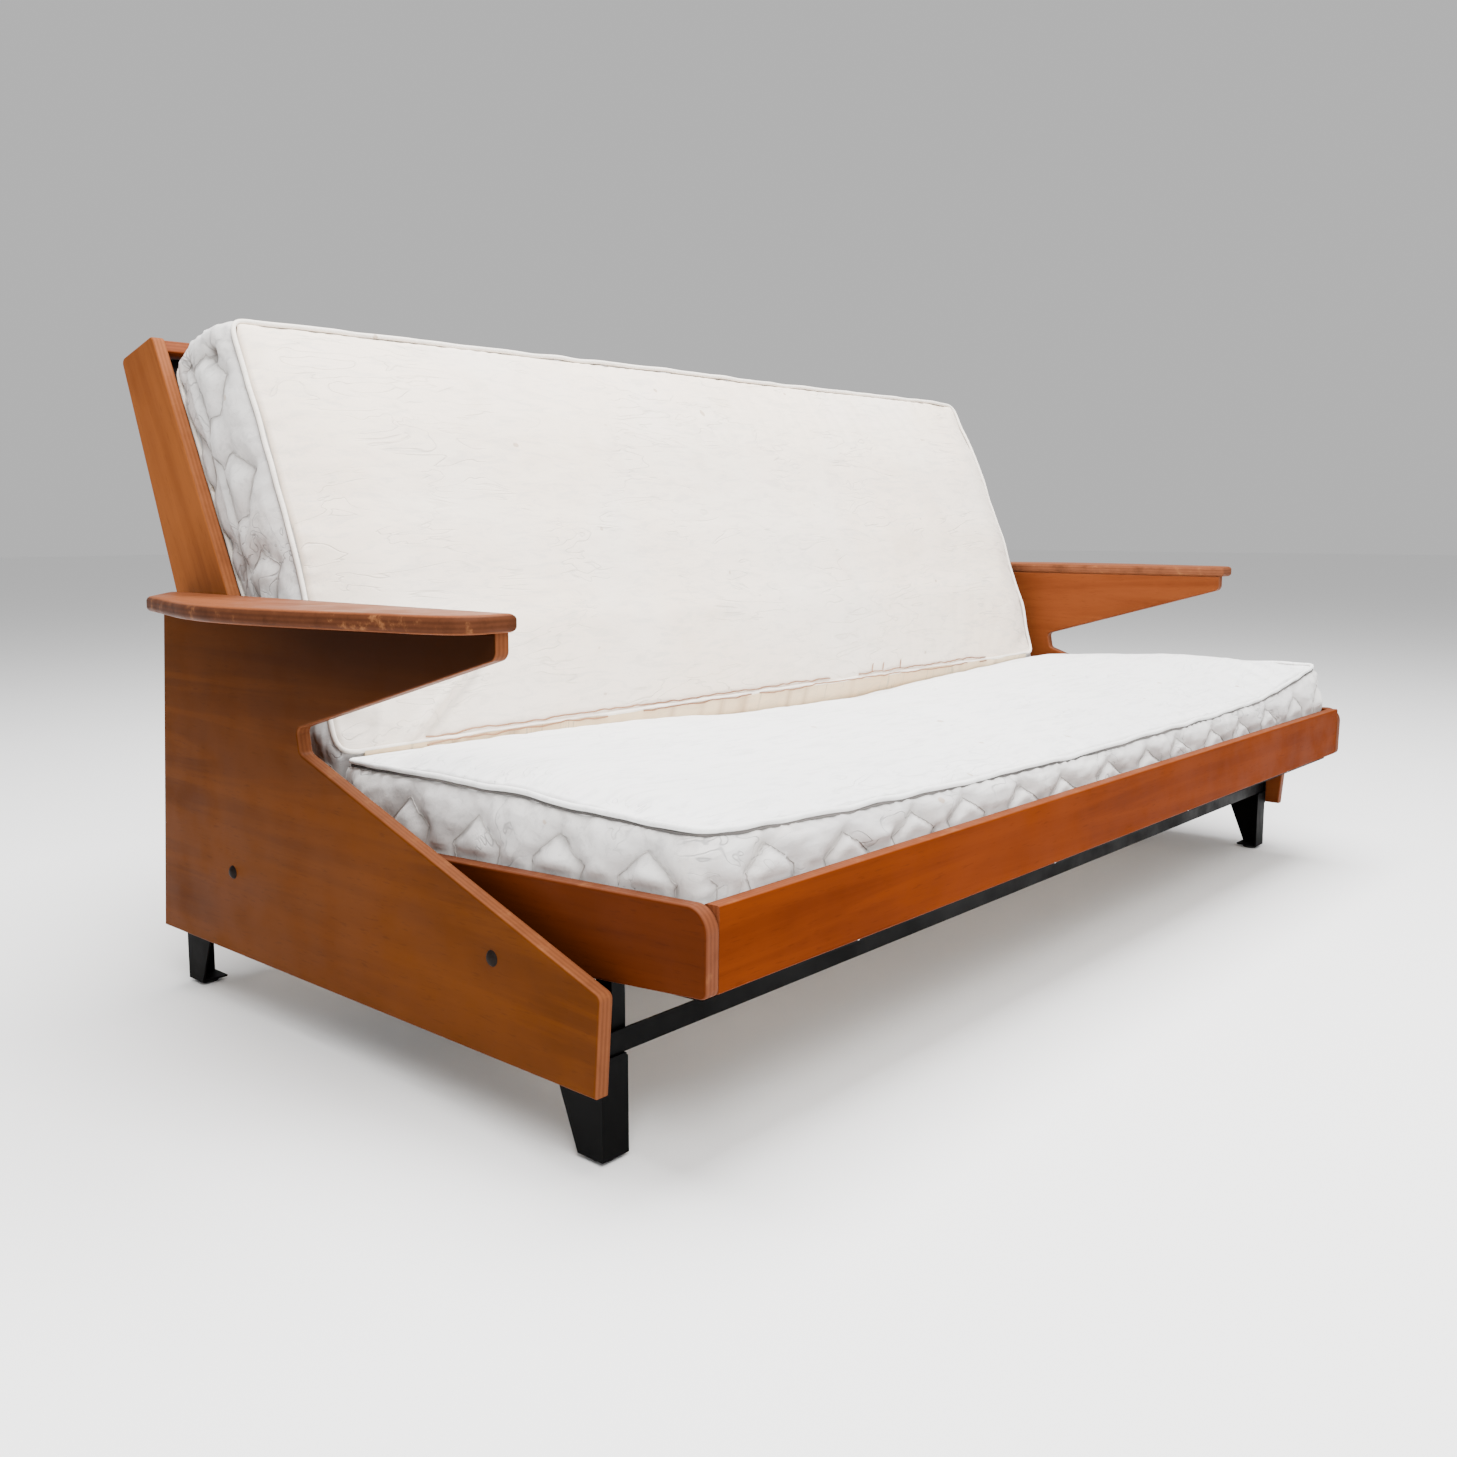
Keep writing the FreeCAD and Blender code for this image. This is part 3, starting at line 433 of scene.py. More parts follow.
def round_corner(x, y, half_x, low_y, high_y, radius):
    """Move a point of a rectangle so that the rectangle's corners become round."""
    middle = (low_y + high_y) / 2
    half_y = (high_y - low_y) / 2
    over_x = abs(x) - (half_x - radius)
    over_y = abs(y - middle) - (half_y - radius)
    if over_x <= 0 or over_y <= 0:
        return x, y
    p, q = over_x / radius, over_y / radius
    new_p = p * math.sqrt(1 - q * q / 2)
    new_q = q * math.sqrt(1 - p * p / 2)
    x = math.copysign(half_x - radius + new_p * radius, x)
    y = middle + math.copysign(half_y - radius + new_q * radius, y - middle)
    return x, y


class Pad:
    """One half of the mattress, as a closed grid box with known seams, in its tray's frame."""

    def __init__(self, name, tray, shape):
        self.name = name
        self.tray = tray
        self.shape = shape
        self.half = shape["half"]
        self.deep = abs(shape["top_far"] - shape["top_near"])
        self.count_x = round(2 * self.half / SEAM_STEP)
        self.count_y = round(self.deep / SEAM_STEP)
        self.count_z = BORDER_ROWS
        self.build()

    def top_height(self, share_y):
        heights = self.shape["heights"]
        place = share_y * (len(heights) - 1)
        index = min(int(place), len(heights) - 2)
        return lerp(heights[index], heights[index + 1], smooth(place - index))

    def spot(self, i, j, k):
        """Point of the grid box: i along X, j from the crease outward, k up."""
        shape = self.shape
        share_x = i / self.count_x
        share_y = j / self.count_y
        level = k / self.count_z
        near = lerp(shape["low_near"], shape["top_near"], level)
        far = lerp(shape["low_far"], shape["top_far"], level)
        x = lerp(-self.half, self.half, share_x)
        y = lerp(near, far, share_y)
        z = lerp(shape["low"], self.top_height(share_y), level)
        x, y = round_corner(x, y, self.half, min(near, far), max(near, far), PANEL_CORNER)
        inside_x = min(share_x, 1 - share_x) * 2 * self.half
        inside_y = min(share_y, 1 - share_y) * abs(far - near)
        if k == self.count_z:
            z += shape["crown"] * smooth(inside_x / CROWN_EDGE) * smooth(inside_y / CROWN_EDGE)
            z += UNEVEN * lump((x, y, 0), 0.30, 3)
        z += shape["lift"](x, share_y) * level
        z += UNEVEN * lump((x, y, 0), 0.35, 8) * level
        if 0 < k < self.count_z and j > 0:
            bulge = BORDER_BULGE * math.sin(math.pi * level)
            if i in (0, self.count_x):
                x += math.copysign(bulge, x)
            if j == self.count_y:
                y += math.copysign(bulge, far - near)
        return Vector((x, y, z))

    def column(self, x):
        """Where x lies among the grid's columns, as a number with a fraction."""
        return (x + self.half) / (2 * self.half) * self.count_x

    def number(self, key):
        if key not in self.index:
            self.index[key] = len(self.spots)
            self.spots.append(self.spot(*key))
        return self.index[key]

    def build(self):
        self.index = {}
        self.spots = []
        nx, ny, nz = self.count_x, self.count_y, self.count_z
        quads = []
        for i in range(nx):
            for j in range(ny):
                quads.append(("top", [(i, j, nz), (i + 1, j, nz), (i + 1, j + 1, nz), (i, j + 1, nz)]))
                quads.append(("low", [(i, j, 0), (i, j + 1, 0), (i + 1, j + 1, 0), (i + 1, j, 0)]))
        for k in range(nz):
            for i in range(nx):
                quads.append(("near", [(i, 0, k), (i + 1, 0, k), (i + 1, 0, k + 1), (i, 0, k + 1)]))
                quads.append(("far", [(i, ny, k), (i, ny, k + 1), (i + 1, ny, k + 1), (i + 1, ny, k)]))
            for j in range(ny):
                quads.append(("left", [(0, j, k), (0, j, k + 1), (0, j + 1, k + 1), (0, j + 1, k)]))
                quads.append(("right", [(nx, j, k), (nx, j + 1, k), (nx, j + 1, k + 1), (nx, j, k + 1)]))
        faces = [[self.number(key) for key in keys] for _, keys in quads]
        mesh = bpy.data.meshes.new(self.name)
        mesh.from_pydata(self.spots, [], faces)
        mesh.polygons.foreach_set("use_smooth", [True] * len(quads))
        slots = [PANEL if side in ("top", "low") else BORDER for side, _ in quads]
        mesh.polygons.foreach_set("material_index", slots)
        layer = mesh.uv_layers.new(name="cloth")
        for polygon, (side, keys) in zip(mesh.polygons, quads):
            for loop_index, key in zip(polygon.loop_indices, keys):
                layer.data[loop_index].uv = self.cloth_uv(side, *key)
        if self.shape["top_far"] < self.shape["top_near"]:
            mesh.flip_normals()
        self.object = bpy.data.objects.new(self.name, mesh)
        bpy.context.scene.collection.objects.link(self.object)

    def cloth_uv(self, side, i, j, k):
        """Metres on the cloth: panels flat, the border unrolled round the pad."""
        wide, deep = 2 * self.half, self.deep
        x = i / self.count_x * wide
        y = j / self.count_y * deep
        if side == "top":
            return x, y
        if side == "low":
            return x, y + LOW_PANEL_MAP
        run = {"left": deep - y, "far": deep + x, "right": 2 * deep + wide - y, "near": NEAR_SIDE_MAP + x}
        return run[side], k / self.count_z * BORDER_TALL

    def loop_keys(self, level):
        """Grid keys once round the pad at one level."""
        nx, ny = self.count_x, self.count_y
        keys = [(0, j, level) for j in range(ny, 0, -1)]
        keys += [(i, 0, level) for i in range(nx)]
        keys += [(nx, j, level) for j in range(ny)]
        keys += [(i, ny, level) for i in range(nx, 0, -1)]
        return keys


def swell(pad):
    """Cloth simulation with the seams and the hidden faces held, each point's travel capped."""
    obj = pad.object
    cap = pad.shape["swell"]
    start = [vertex.co.copy() for vertex in obj.data.vertices]
    held = [number for (_, j, k), number in pad.index.items() if j == 0 or k in (0, pad.count_z - 1)]
    held += [pad.index[key] for key in pad.loop_keys(pad.count_z)]
    group = obj.vertex_groups.new(name="held")
    group.add(sorted(set(held)), 1.0, "REPLACE")
    cloth = obj.modifiers.new("cloth", "CLOTH")
    settings = cloth.settings
    settings.quality = 5
    settings.mass = 0.25
    settings.tension_stiffness = 18
    settings.compression_stiffness = 18
    settings.bending_stiffness = 0.6
    settings.vertex_group_mass = "held"
    settings.use_pressure = True
    settings.uniform_pressure_force = 4.0
    settings.shrink_min = -0.012
    settings.shrink_max = -0.012
    settings.effector_weights.gravity = 0
    cloth.collision_settings.use_collision = False
    scene = bpy.context.scene
    for step in range(1, 21):
        scene.frame_set(step)
    posed = obj.evaluated_get(bpy.context.evaluated_depsgraph_get()).data
    moved = [vertex.co.copy() for vertex in posed.vertices]
    obj.modifiers.remove(cloth)
    scene.frame_set(1)
    for vertex, old, new in zip(obj.data.vertices, start, moved):
        travel = new - old
        if travel.length > cap:
            travel *= cap / travel.length
        vertex.co = old + travel
    obj.vertex_groups.clear()


# Stitched figures of the border over one period: metres along the seam, metres up from the lower seam.
QUILT_PITCH = 0.134
QUILT_TALL = 0.12
QUILT_LINES = (
    ((-0.043, 0.091), (0.001, 0.122)),
    ((0.001, 0.122), (0.041, 0.088)),
    ((-0.043, 0.091), (-0.036, 0.058)),
    ((0.041, 0.088), (0.034, 0.059)),
    ((-0.036, 0.058), (0.034, 0.059)),
    ((-0.036, 0.058), (-0.067, 0.038)),
    ((0.034, 0.059), (0.067, 0.038)),
    ((-0.067, 0.038), (-0.030, 0.012)),
    ((0.067, 0.038), (0.030, 0.012)),
)


def quilt_lines(pad):
    """Every stitched line of a border, with the uneven pitch of hand-guided work."""
    rng = random.Random(RANDOM_SEED + len(pad.name))
    around = 2 * pad.deep + 2 * pad.half
    lines = []
    for period in range(round(around / QUILT_PITCH)):
        middle = (period + 0.5) * QUILT_PITCH + rng.uniform(-0.006, 0.006)
        lift = rng.uniform(-0.006, 0.005)
        lean = rng.uniform(-0.006, 0.006)
        for start, end in QUILT_LINES:
            lines.append(tuple(
                Vector((middle + along + lean * up / QUILT_TALL, up + lift * (up > 0.05)))
                for along, up in (start, end)))
    return lines


def line_distance(point, start, end):
    run = end - start
    share = max(0.0, min(1.0, (point - start).dot(run) / run.length_squared))
    return (point - start - run * share).length


class LineGrid:
    """Stitched lines by the stretch of border that they cross, for quick nearest distances."""

    def __init__(self, lines, cell=0.03):
        self.cell = cell
        self.bins = {}
        for line in lines:
            low, high = sorted(point.x for point in line)
            for index in range(math.floor(low / cell) - 1, math.floor(high / cell) + 2):
                self.bins.setdefault(index, []).append(line)

    def nearest(self, along, height):
        point = Vector((along, height))
        found = self.bins.get(math.floor(along / self.cell), ())
        return min((line_distance(point, *line) for line in found), default=1.0)


def subdivide(obj):
    divide = obj.modifiers.new("divide", "SUBSURF")
    divide.levels = 1
    divide.render_levels = 1
    data = bpy.data.meshes.new_from_object(obj.evaluated_get(bpy.context.evaluated_depsgraph_get()))
    obj.modifiers.clear()
    obj.data = data


def quilt(pad, lines):
    """Puff the border between its stitched lines, crease it, and record where it darkens: grime, and painted
    shade along seams and folds.
    """
    subdivide(pad.object)
    data = pad.object.data
    uvs = data.uv_layers["cloth"].data
    grid = LineGrid(lines)
    shift, soil = {}, {}
    for polygon in data.polygons:
        for loop_index in polygon.loop_indices:
            number = data.loops[loop_index].vertex_index
            if number in shift and polygon.material_index == PANEL:
                continue
            along, height = uvs[loop_index].uv
            if polygon.material_index == PANEL:
                shift[number], soil[number] = panel_relief(pad, along, height)
            elif along < NEAR_SIDE_MAP - MAP_GAP:
                shift[number], soil[number] = border_relief(grid, along, height)
            else:
                shift[number], soil[number] = 0.0, 0.0
    normals = [vertex.normal.copy() for vertex in data.vertices]
    layer = data.attributes.new("soil", "FLOAT", "POINT")
    for number, amount in shift.items():
        data.vertices[number].co += normals[number] * amount
        layer.data[number].value = soil[number]


# How far the filling puffs up, how wide grooves, seams and folds are, and how far from a seam it puckers.
PUFF_TALL = 0.0085
PUFF_RUN = 0.014
GROOVE_DEEP = 0.0025
GROOVE_WIDE = 0.0055
SEAM_WIDE = 0.0050
FOLD_WIDE = 0.006
PUCKER_INSET = 0.012


def border_relief(grid, along, height):
    """Outward shift of a border point, and how much it darkens: in patches along the stitched grooves, and
    as painted shade along both seams.
    """
    gap = grid.nearest(along, height)
    below_top = BORDER_TALL - height
    groove = bell(gap, 0, GROOVE_WIDE)
    puff = PUFF_TALL * (1 - bell(gap, 0, PUFF_RUN)) - GROOVE_DEEP * groove
    place = (along, height * 2.2, 0)
    ripple = 0.0042 * lump(place, 0.055, 1) + 0.0024 * lump(place, 0.022, 2)
    ripple += 0.0020 * max(0.0, 1 - abs(lump(place, 0.075, 14)) / 0.10)
    inside = smooth(height / PUCKER_INSET) * smooth(below_top / 0.030)
    seam = 0.0075 * bell(below_top, 0, SEAM_WIDE) + 0.0060 * bell(height, 0, SEAM_WIDE)
    pucker = 0.0016 * math.sin(along * 210 + 9 * lump(place, 0.08, 4))
    pucker *= bell(below_top, PUCKER_INSET, 0.010)
    # Darker in patches along the grooves, and painted shade along both seams.
    soil = 0.5 * groove * smooth(0.5 + lump(place, 0.09, 5)) + 60 * seam
    return (puff + ripple) * inside - seam + pucker, min(1.0, soil)


def panel_relief(pad, along, across):
    """Outward shift and darkening of a point on a flat panel: folds, hollows, and puckers by the piping. The
    darkening is painted shade in the sunken folds, and grime with painted shade right along the piping.
    """
    if across > LOW_PANEL_MAP - MAP_GAP:
        return 0.0, 0.0
    inset = min(along, 2 * pad.half - along, pad.deep - across)
    place = (along, across, 0)
    fold, fold_shade = 0.0, 0.0
    for start, end, tall in pad.shape["folds"]:
        ridge = bell(line_distance(Vector((along, across)), Vector(start), Vector(end)), 0, FOLD_WIDE)
        fold += tall * ridge
        # Painted shade in the hollow of each sunken fold.
        fold_shade += 0.30 * (tall < 0) * ridge
    relief = fold + 0.0016 * lump(place, 0.11, 6) + 0.0009 * lump((along, across * 2.5, 0), 0.05, 7)
    side = along if inset == pad.deep - across else across
    pucker = 0.0014 * math.sin(side * 235 + 7 * lump(place, 0.10, 9))
    pucker *= bell(inset, PUCKER_INSET, PUCKER_INSET) * smooth(0.55 + lump(place, 0.16, 10))
    # Darker right along the piping: grime with painted shade.
    soil = 0.35 * bell(inset, 0, 0.004) + fold_shade
    return (relief + pucker) * smooth(inset / PUCKER_INSET), soil


def press_tucks(pad):
    """Hollows where the corner of the border was folded under and sewn down."""
    soil = pad.object.data.attributes["soil"].data
    for place, radius, depth in pad.shape["tucks"]:
        centre = Vector(place)
        for vertex in pad.object.data.vertices:
            away = (vertex.co - centre).length
            if away < 4 * radius:
                around = math.atan2(vertex.co.z - centre.z, vertex.co.y - centre.y)
                pleat = 1 + 0.25 * math.cos(around * 5 + 1) * min(1.0, away / radius)
                push = depth * bell(away, 0, radius) * pleat
                vertex.co.x += math.copysign(push, -centre.x)
                # Painted shade in the tuck's hollow.
                value = 0.8 * bell(away, 0, 0.6 * radius)
                soil[vertex.index].value = max(soil[vertex.index].value, value)


def keep_clear(pad, fade=0.012):
    """Keep the part of a border that lies inside the tray's boards clear of them."""
    side, low, high, board = pad.shape["room"]
    for vertex in pad.object.data.vertices:
        inside = smooth((board + fade - vertex.co.z) / fade)
        if inside:
            x, y = vertex.co.x, vertex.co.y
            vertex.co.x += inside * (max(-side, min(side, x)) - x)
            vertex.co.y += inside * (max(low, min(high, y)) - y)


PIPING_SIDES = 8
# Sides and radius of the dark tube painted as the shadow under the piping.
SEAM_SHADOW_SIDES = 5
SEAM_SHADOW_RADIUS = 0.0021
THREAD_SIDES = 4
THREAD_RADIUS = 0.0007
STITCH_STEP = 0.0045

# A direction that no cord or thread follows, which a tube's rings are turned from.
ASKEW = Vector((0.13, 0.21, 0.97))


def tube(name, paths, radius, sides, closed=False):
    """One mesh of round tubes along lists of points."""
    spots, faces = [], []
    for path in paths:
        first = len(spots)
        count = len(path)
        for index, point in enumerate(path):
            after = path[(index + 1) % count] if closed or index + 1 < count else point
            before = path[index - 1] if closed or index else point
            along = (after - before).normalized()
            flat = along.cross(ASKEW).normalized()
            tall = along.cross(flat)
            for turn in range(sides):
                angle = 2 * math.pi * turn / sides
                spots.append(point + radius * (math.cos(angle) * flat + math.sin(angle) * tall))
        for index in range(count if closed else count - 1):
            here = first + index * sides
            there = first + (index + 1) % count * sides
            for turn in range(sides):
                beside = (turn + 1) % sides
                faces.append((here + turn, here + beside, there + beside, there + turn))
    mesh = bpy.data.meshes.new(name)
    mesh.from_pydata(spots, [], faces)
    mesh.polygons.foreach_set("use_smooth", [True] * len(faces))
    obj = bpy.data.objects.new(name, mesh)
    bpy.context.scene.collection.objects.link(obj)
    return obj


def piping(pad, level, name, radius):
    """Corded piping in the seam round the pad, through twice as many points as the grid has."""
    vertices = pad.object.data.vertices
    points = [vertices[pad.index[key]].co.copy() for key in pad.loop_keys(level)]
    count = len(points)
    points = [(points[n - 1] + points[n] + points[(n + 1) % count]) / 3 for n in range(count)]
    fine = []
    for n in range(count):
        a, b, c, d = (points[(n + step) % count] for step in (-1, 0, 1, 2))
        fine += [b, (b + c) * (9 / 16) - (a + d) * (1 / 16)]
    centre = sum(fine, Vector()) / len(fine)
    proud, wander = 0.0015, 0.0022
    cord = []
    for point in fine:
        out = Vector((point.x - centre.x, point.y - centre.y, 0)).normalized()
        sway = Vector((lump(point, 0.06, 11), lump(point, 0.06, 12), lump(point, 0.05, 13)))
        cord.append(point + out * proud + sway * wander)
    return tube(name, [cord], radius, PIPING_SIDES, closed=True)


def seam_line(cord, name):
    """A thin dark tube under the piping: painted shadow of the gap between the piping and the border under
    it.
    """
    inward, under = 0.0006, 0.0054
    spots = [vertex.co for vertex in cord.data.vertices]
    path = []
    for first in range(0, len(spots), PIPING_SIDES):
        centre = sum(spots[first:first + PIPING_SIDES], Vector()) / PIPING_SIDES
        path.append(centre - Vector((math.copysign(inward, centre.x), 0, under)))
    return tube(name, [path], SEAM_SHADOW_RADIUS, SEAM_SHADOW_SIDES, closed=True)


def thread_lines(pad, lines, name):
    """The stitching thread, laid on the puffed border, every second point a little higher."""
    data = pad.object.data
    seen = set()
    uvs = data.uv_layers["cloth"].data
    flat_points, spots = [], []
    for polygon in data.polygons:
        if polygon.material_index != BORDER:
            continue
        for loop_index in polygon.loop_indices:
            number = data.loops[loop_index].vertex_index
            along, height = uvs[loop_index].uv
            if along < NEAR_SIDE_MAP - MAP_GAP and (number, round(along, 3)) not in seen:
                seen.add((number, round(along, 3)))
                flat_points.append((along, height, 0))
                vertex = data.vertices[number]
                spots.append((vertex.co.copy(), vertex.normal.copy()))
    finder = kdtree.KDTree(len(flat_points))
    for index, point in enumerate(flat_points):
        finder.insert(point, index)
    finder.balance()
    tiny = 1e-4
    lying, bowed = 0.0006, 0.0005
    paths = []
    for start, end in lines:
        steps = max(3, round((end - start).length / STITCH_STEP))
        path = []
        for step in range(steps + 1):
            at = start.lerp(end, step / steps)
            near = finder.find_n((at.x, at.y, 0), 4)
            weight = sum(1 / (gap + tiny) for _, _, gap in near)
            point, normal = Vector(), Vector()
            for _, index, gap in near:
                share = 1 / (gap + tiny) / weight
                point += spots[index][0] * share
                normal += spots[index][1] * share
            path.append(point + normal.normalized() * (lying + bowed * (step % 2)))
        paths.append(path)
    return tube(name, paths, THREAD_RADIUS, THREAD_SIDES)


def into_tray(obj, tray):
    """Move a mesh drawn in a tray's frame to where that tray is."""
    obj.data.transform(TRAY[tray])
    obj.data.update()


def seat_lift(x, share):
    """The seat half has sunk along its front edge and along the crease; its right front corner stands up."""
    front = max(0.0, 1 - (x / 0.93) ** 2) ** 0.7 * smooth((share - 0.45) / 0.55)
    corner = smooth((x - 0.6) / 0.33) * smooth(share)
    return -0.027 * front - 0.034 * bell(x, 0.08, 0.66) * smooth(1 - share / 0.85) + 0.020 * corner


def back_lift(x, share):
    """The back half bows out a little over the sunk part of the crease."""
    return 0.004 * bell(x, -0.1, 0.5) * smooth(1 - share / 0.2)


# Each half in its tray's frame: half its width, the height of its underside, and how far its panel crowns
# and its cloth may swell. The room between the boards is the largest X, the lowest and highest Y, and the
# height of the boards' tops. The low and top panels start near the crease and end far from it, and heights
# run the same way. A fold is start, end and height on the panel's map, a tuck is centre, radius and depth.
SEAT_PAD = {
    "half": 0.935, "low": 0.0225, "crown": 0.006, "swell": 0.015, "lift": seat_lift,
    "room": (0.947, -0.716, 1.0, 0.095),
    "low_near": -0.022, "low_far": -0.704, "top_near": -0.068, "top_far": -0.702,
    "heights": (0.192, 0.187, 0.178, 0.166, 0.160),
    "folds": (),
    "tucks": (),
}
BACK_PAD = {
    "half": 0.939, "low": 0.0225, "crown": 0.010, "swell": 0.022, "lift": back_lift,
    "room": (0.947, -1.0, 0.830, 0.056),
    "low_near": 0.022, "low_far": 0.814, "top_near": 0.156, "top_far": 0.785,
    "heights": (0.136, 0.162, 0.180, 0.190, 0.190),
    "folds": (((0.115, 0.012), (0.235, 0.105), 0.008), ((0.150, 0.010), (0.262, 0.100), -0.005),
              ((0.060, 0.010), (0.075, 0.075), 0.005)),
    "tucks": (((-0.943, 0.764, 0.138), 0.015, 0.020), ((-0.943, 0.788, 0.066), 0.013, 0.018)),
}


# How far the strip's two legs lie behind the back half's near edge, how far it keeps from each half's cloth,
# and where its points pass from one body to the other.
BACK_LEG = 0.0068
SEAT_LEG = 0.0086
DEEPEST_LEG = 0.013
BACK_GAP = 0.0035
SEAT_GAP = 0.002
SEAT_TOP_GAP = -0.0015


def strip_plane(back):
    """The plane of the back half's near edge in the room: its direction towards the seat, and its place."""
    shape = back.shape
    foot = TRAY["back"] @ Vector((0, shape["low_near"], shape["low"]))
    rise = (TRAY["back"] @ Vector((0, shape["top_near"], shape["heights"][0]))) - foot
    outward = Vector((0, rise.z, -rise.y)).normalized()
    return outward, foot.dot(outward)


def strip_rows(seat, back, outward, face):
    """Rows of points down the back half's edge and up the seat half's, the two legs a little apart."""
    back_side, seat_side, deepest = face - BACK_LEG, face - SEAT_LEG, face - DEEPEST_LEG
    end_columns = 3
    rows = []
    for i in range(end_columns, seat.count_x - end_columns + 1):
        row = []
        for k in range(back.count_z, 0, -1):
            point = TRAY["back"] @ back.spot(i, 0, k)
            reach = max(back_side, min(face, point.dot(outward)) - BACK_GAP)
            row.append(point + outward * (reach - point.dot(outward)))
        for k in range(1, seat.count_z + 1):
            point = TRAY["seat"] @ seat.spot(i, 0, k)
            gap = SEAT_TOP_GAP if k == seat.count_z else SEAT_GAP
            reach = min(seat_side, max(deepest, point.dot(outward) + gap))
            row.append(point + outward * (reach - point.dot(outward)))
        for point in row:
            upright = (point.x * 3, point.y, point.z)
            point += outward * 0.0002 * (lump(point, 0.022, 4) + lump(upright, 0.06, 5))
        rows.append(row)
    return rows


def add_strip(seat, back):
    """The old fabric strip between the halves, darkened along its upright folds with grime and painted
    shade.
    """
    outward, face = strip_plane(back)
    rows = strip_rows(seat, back, outward, face)
    rng = random.Random(RANDOM_SEED)
    folds = [rng.uniform(-0.85, 0.85) for _ in range(26)]
    # Darker lines along the upright folds: grime with painted shade.
    soil = [0.4 * bell(min(abs(row[0].x - fold) for fold in folds), 0, 0.004) for row in rows]
    deep = len(rows[0])
    spots = [point for row in rows for point in row]
    faces = [(a * deep + b, a * deep + b + 1, (a + 1) * deep + b + 1, (a + 1) * deep + b)
             for a in range(len(rows) - 1) for b in range(deep - 1)]
    mesh = bpy.data.meshes.new("crease_strip")
    mesh.from_pydata(spots, [], faces)
    mesh.polygons.foreach_set("use_smooth", [True] * len(faces))
    layer = mesh.attributes.new("soil", "FLOAT", "POINT")
    layer.data.foreach_set("value", [value for value in soil for _ in range(deep)])
    strip = bpy.data.objects.new("crease_strip", mesh)
    bpy.context.scene.collection.objects.link(strip)
    strip.data.materials.append(
        canvas("strip_fabric", 0.0, (0.80, 0.60, 0.37), (0.84, 0.69, 0.48), 0.5, 0.6, (0.28, 0.13, 0.06),
               crease=0.9, crease_scale=(28, 1.2, 1.2)))
    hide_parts("mattress_strip")
    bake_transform(strip)


def add_crease_seams(back):
    """Brown, wavy lines above and below the back half's lower piping: painted shade along the seam, with
    grime.
    """
    rng = random.Random(RANDOM_SEED)
    left, right, steps = -0.80, 0.72, 320
    paths = []
    for lift, reach, phase in ((0.0045, 0.0045, 1), (-0.0050, 0.0025, 2)):
        path = []
        for n in range(steps + 1):
            x = lerp(left, right, n / steps)
            i = back.column(x)
            low, high = back.spot(int(i), 0, back.count_z), back.spot(int(i) + 1, 0, back.count_z)
            seam = low.lerp(high, i - int(i))
            sway = 0.0034 * lump((x, phase, 0), 0.05, phase) + 0.0020 * lump((x, phase, 1), 0.018, phase)
            broken = lump((x, phase * 3, 2), 0.12, 7) < -0.28
            point = seam + Vector((0, lift + sway, reach + 0.3 * sway))
            if broken:
                if len(path) > 2:
                    paths.append(path)
                path = []
            else:
                path.append(point)
        paths.append(path)
    for _ in range(3):
        foot = back.spot(round(back.column(rng.uniform(0.25, 0.45))), 0, back.count_z)
        paths.append([foot + Vector((0.003 * n, 0.006 + 0.005 * n, 0.006 + 0.001 * n)) for n in range(4)])
    # Thin brown tubes, painted shade with grime along the seam.
    seams = tube("crease_seams", [path for path in paths if len(path) > 2], 0.0014, THREAD_SIDES)
    seams.data.materials.append(
        canvas("old_seam", BACK_SLOPE, (0.20, 0.085, 0.04), (0.34, 0.17, 0.08), 0.3, 0.2))
    into_tray(seams, "back")
    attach(seams, "back")


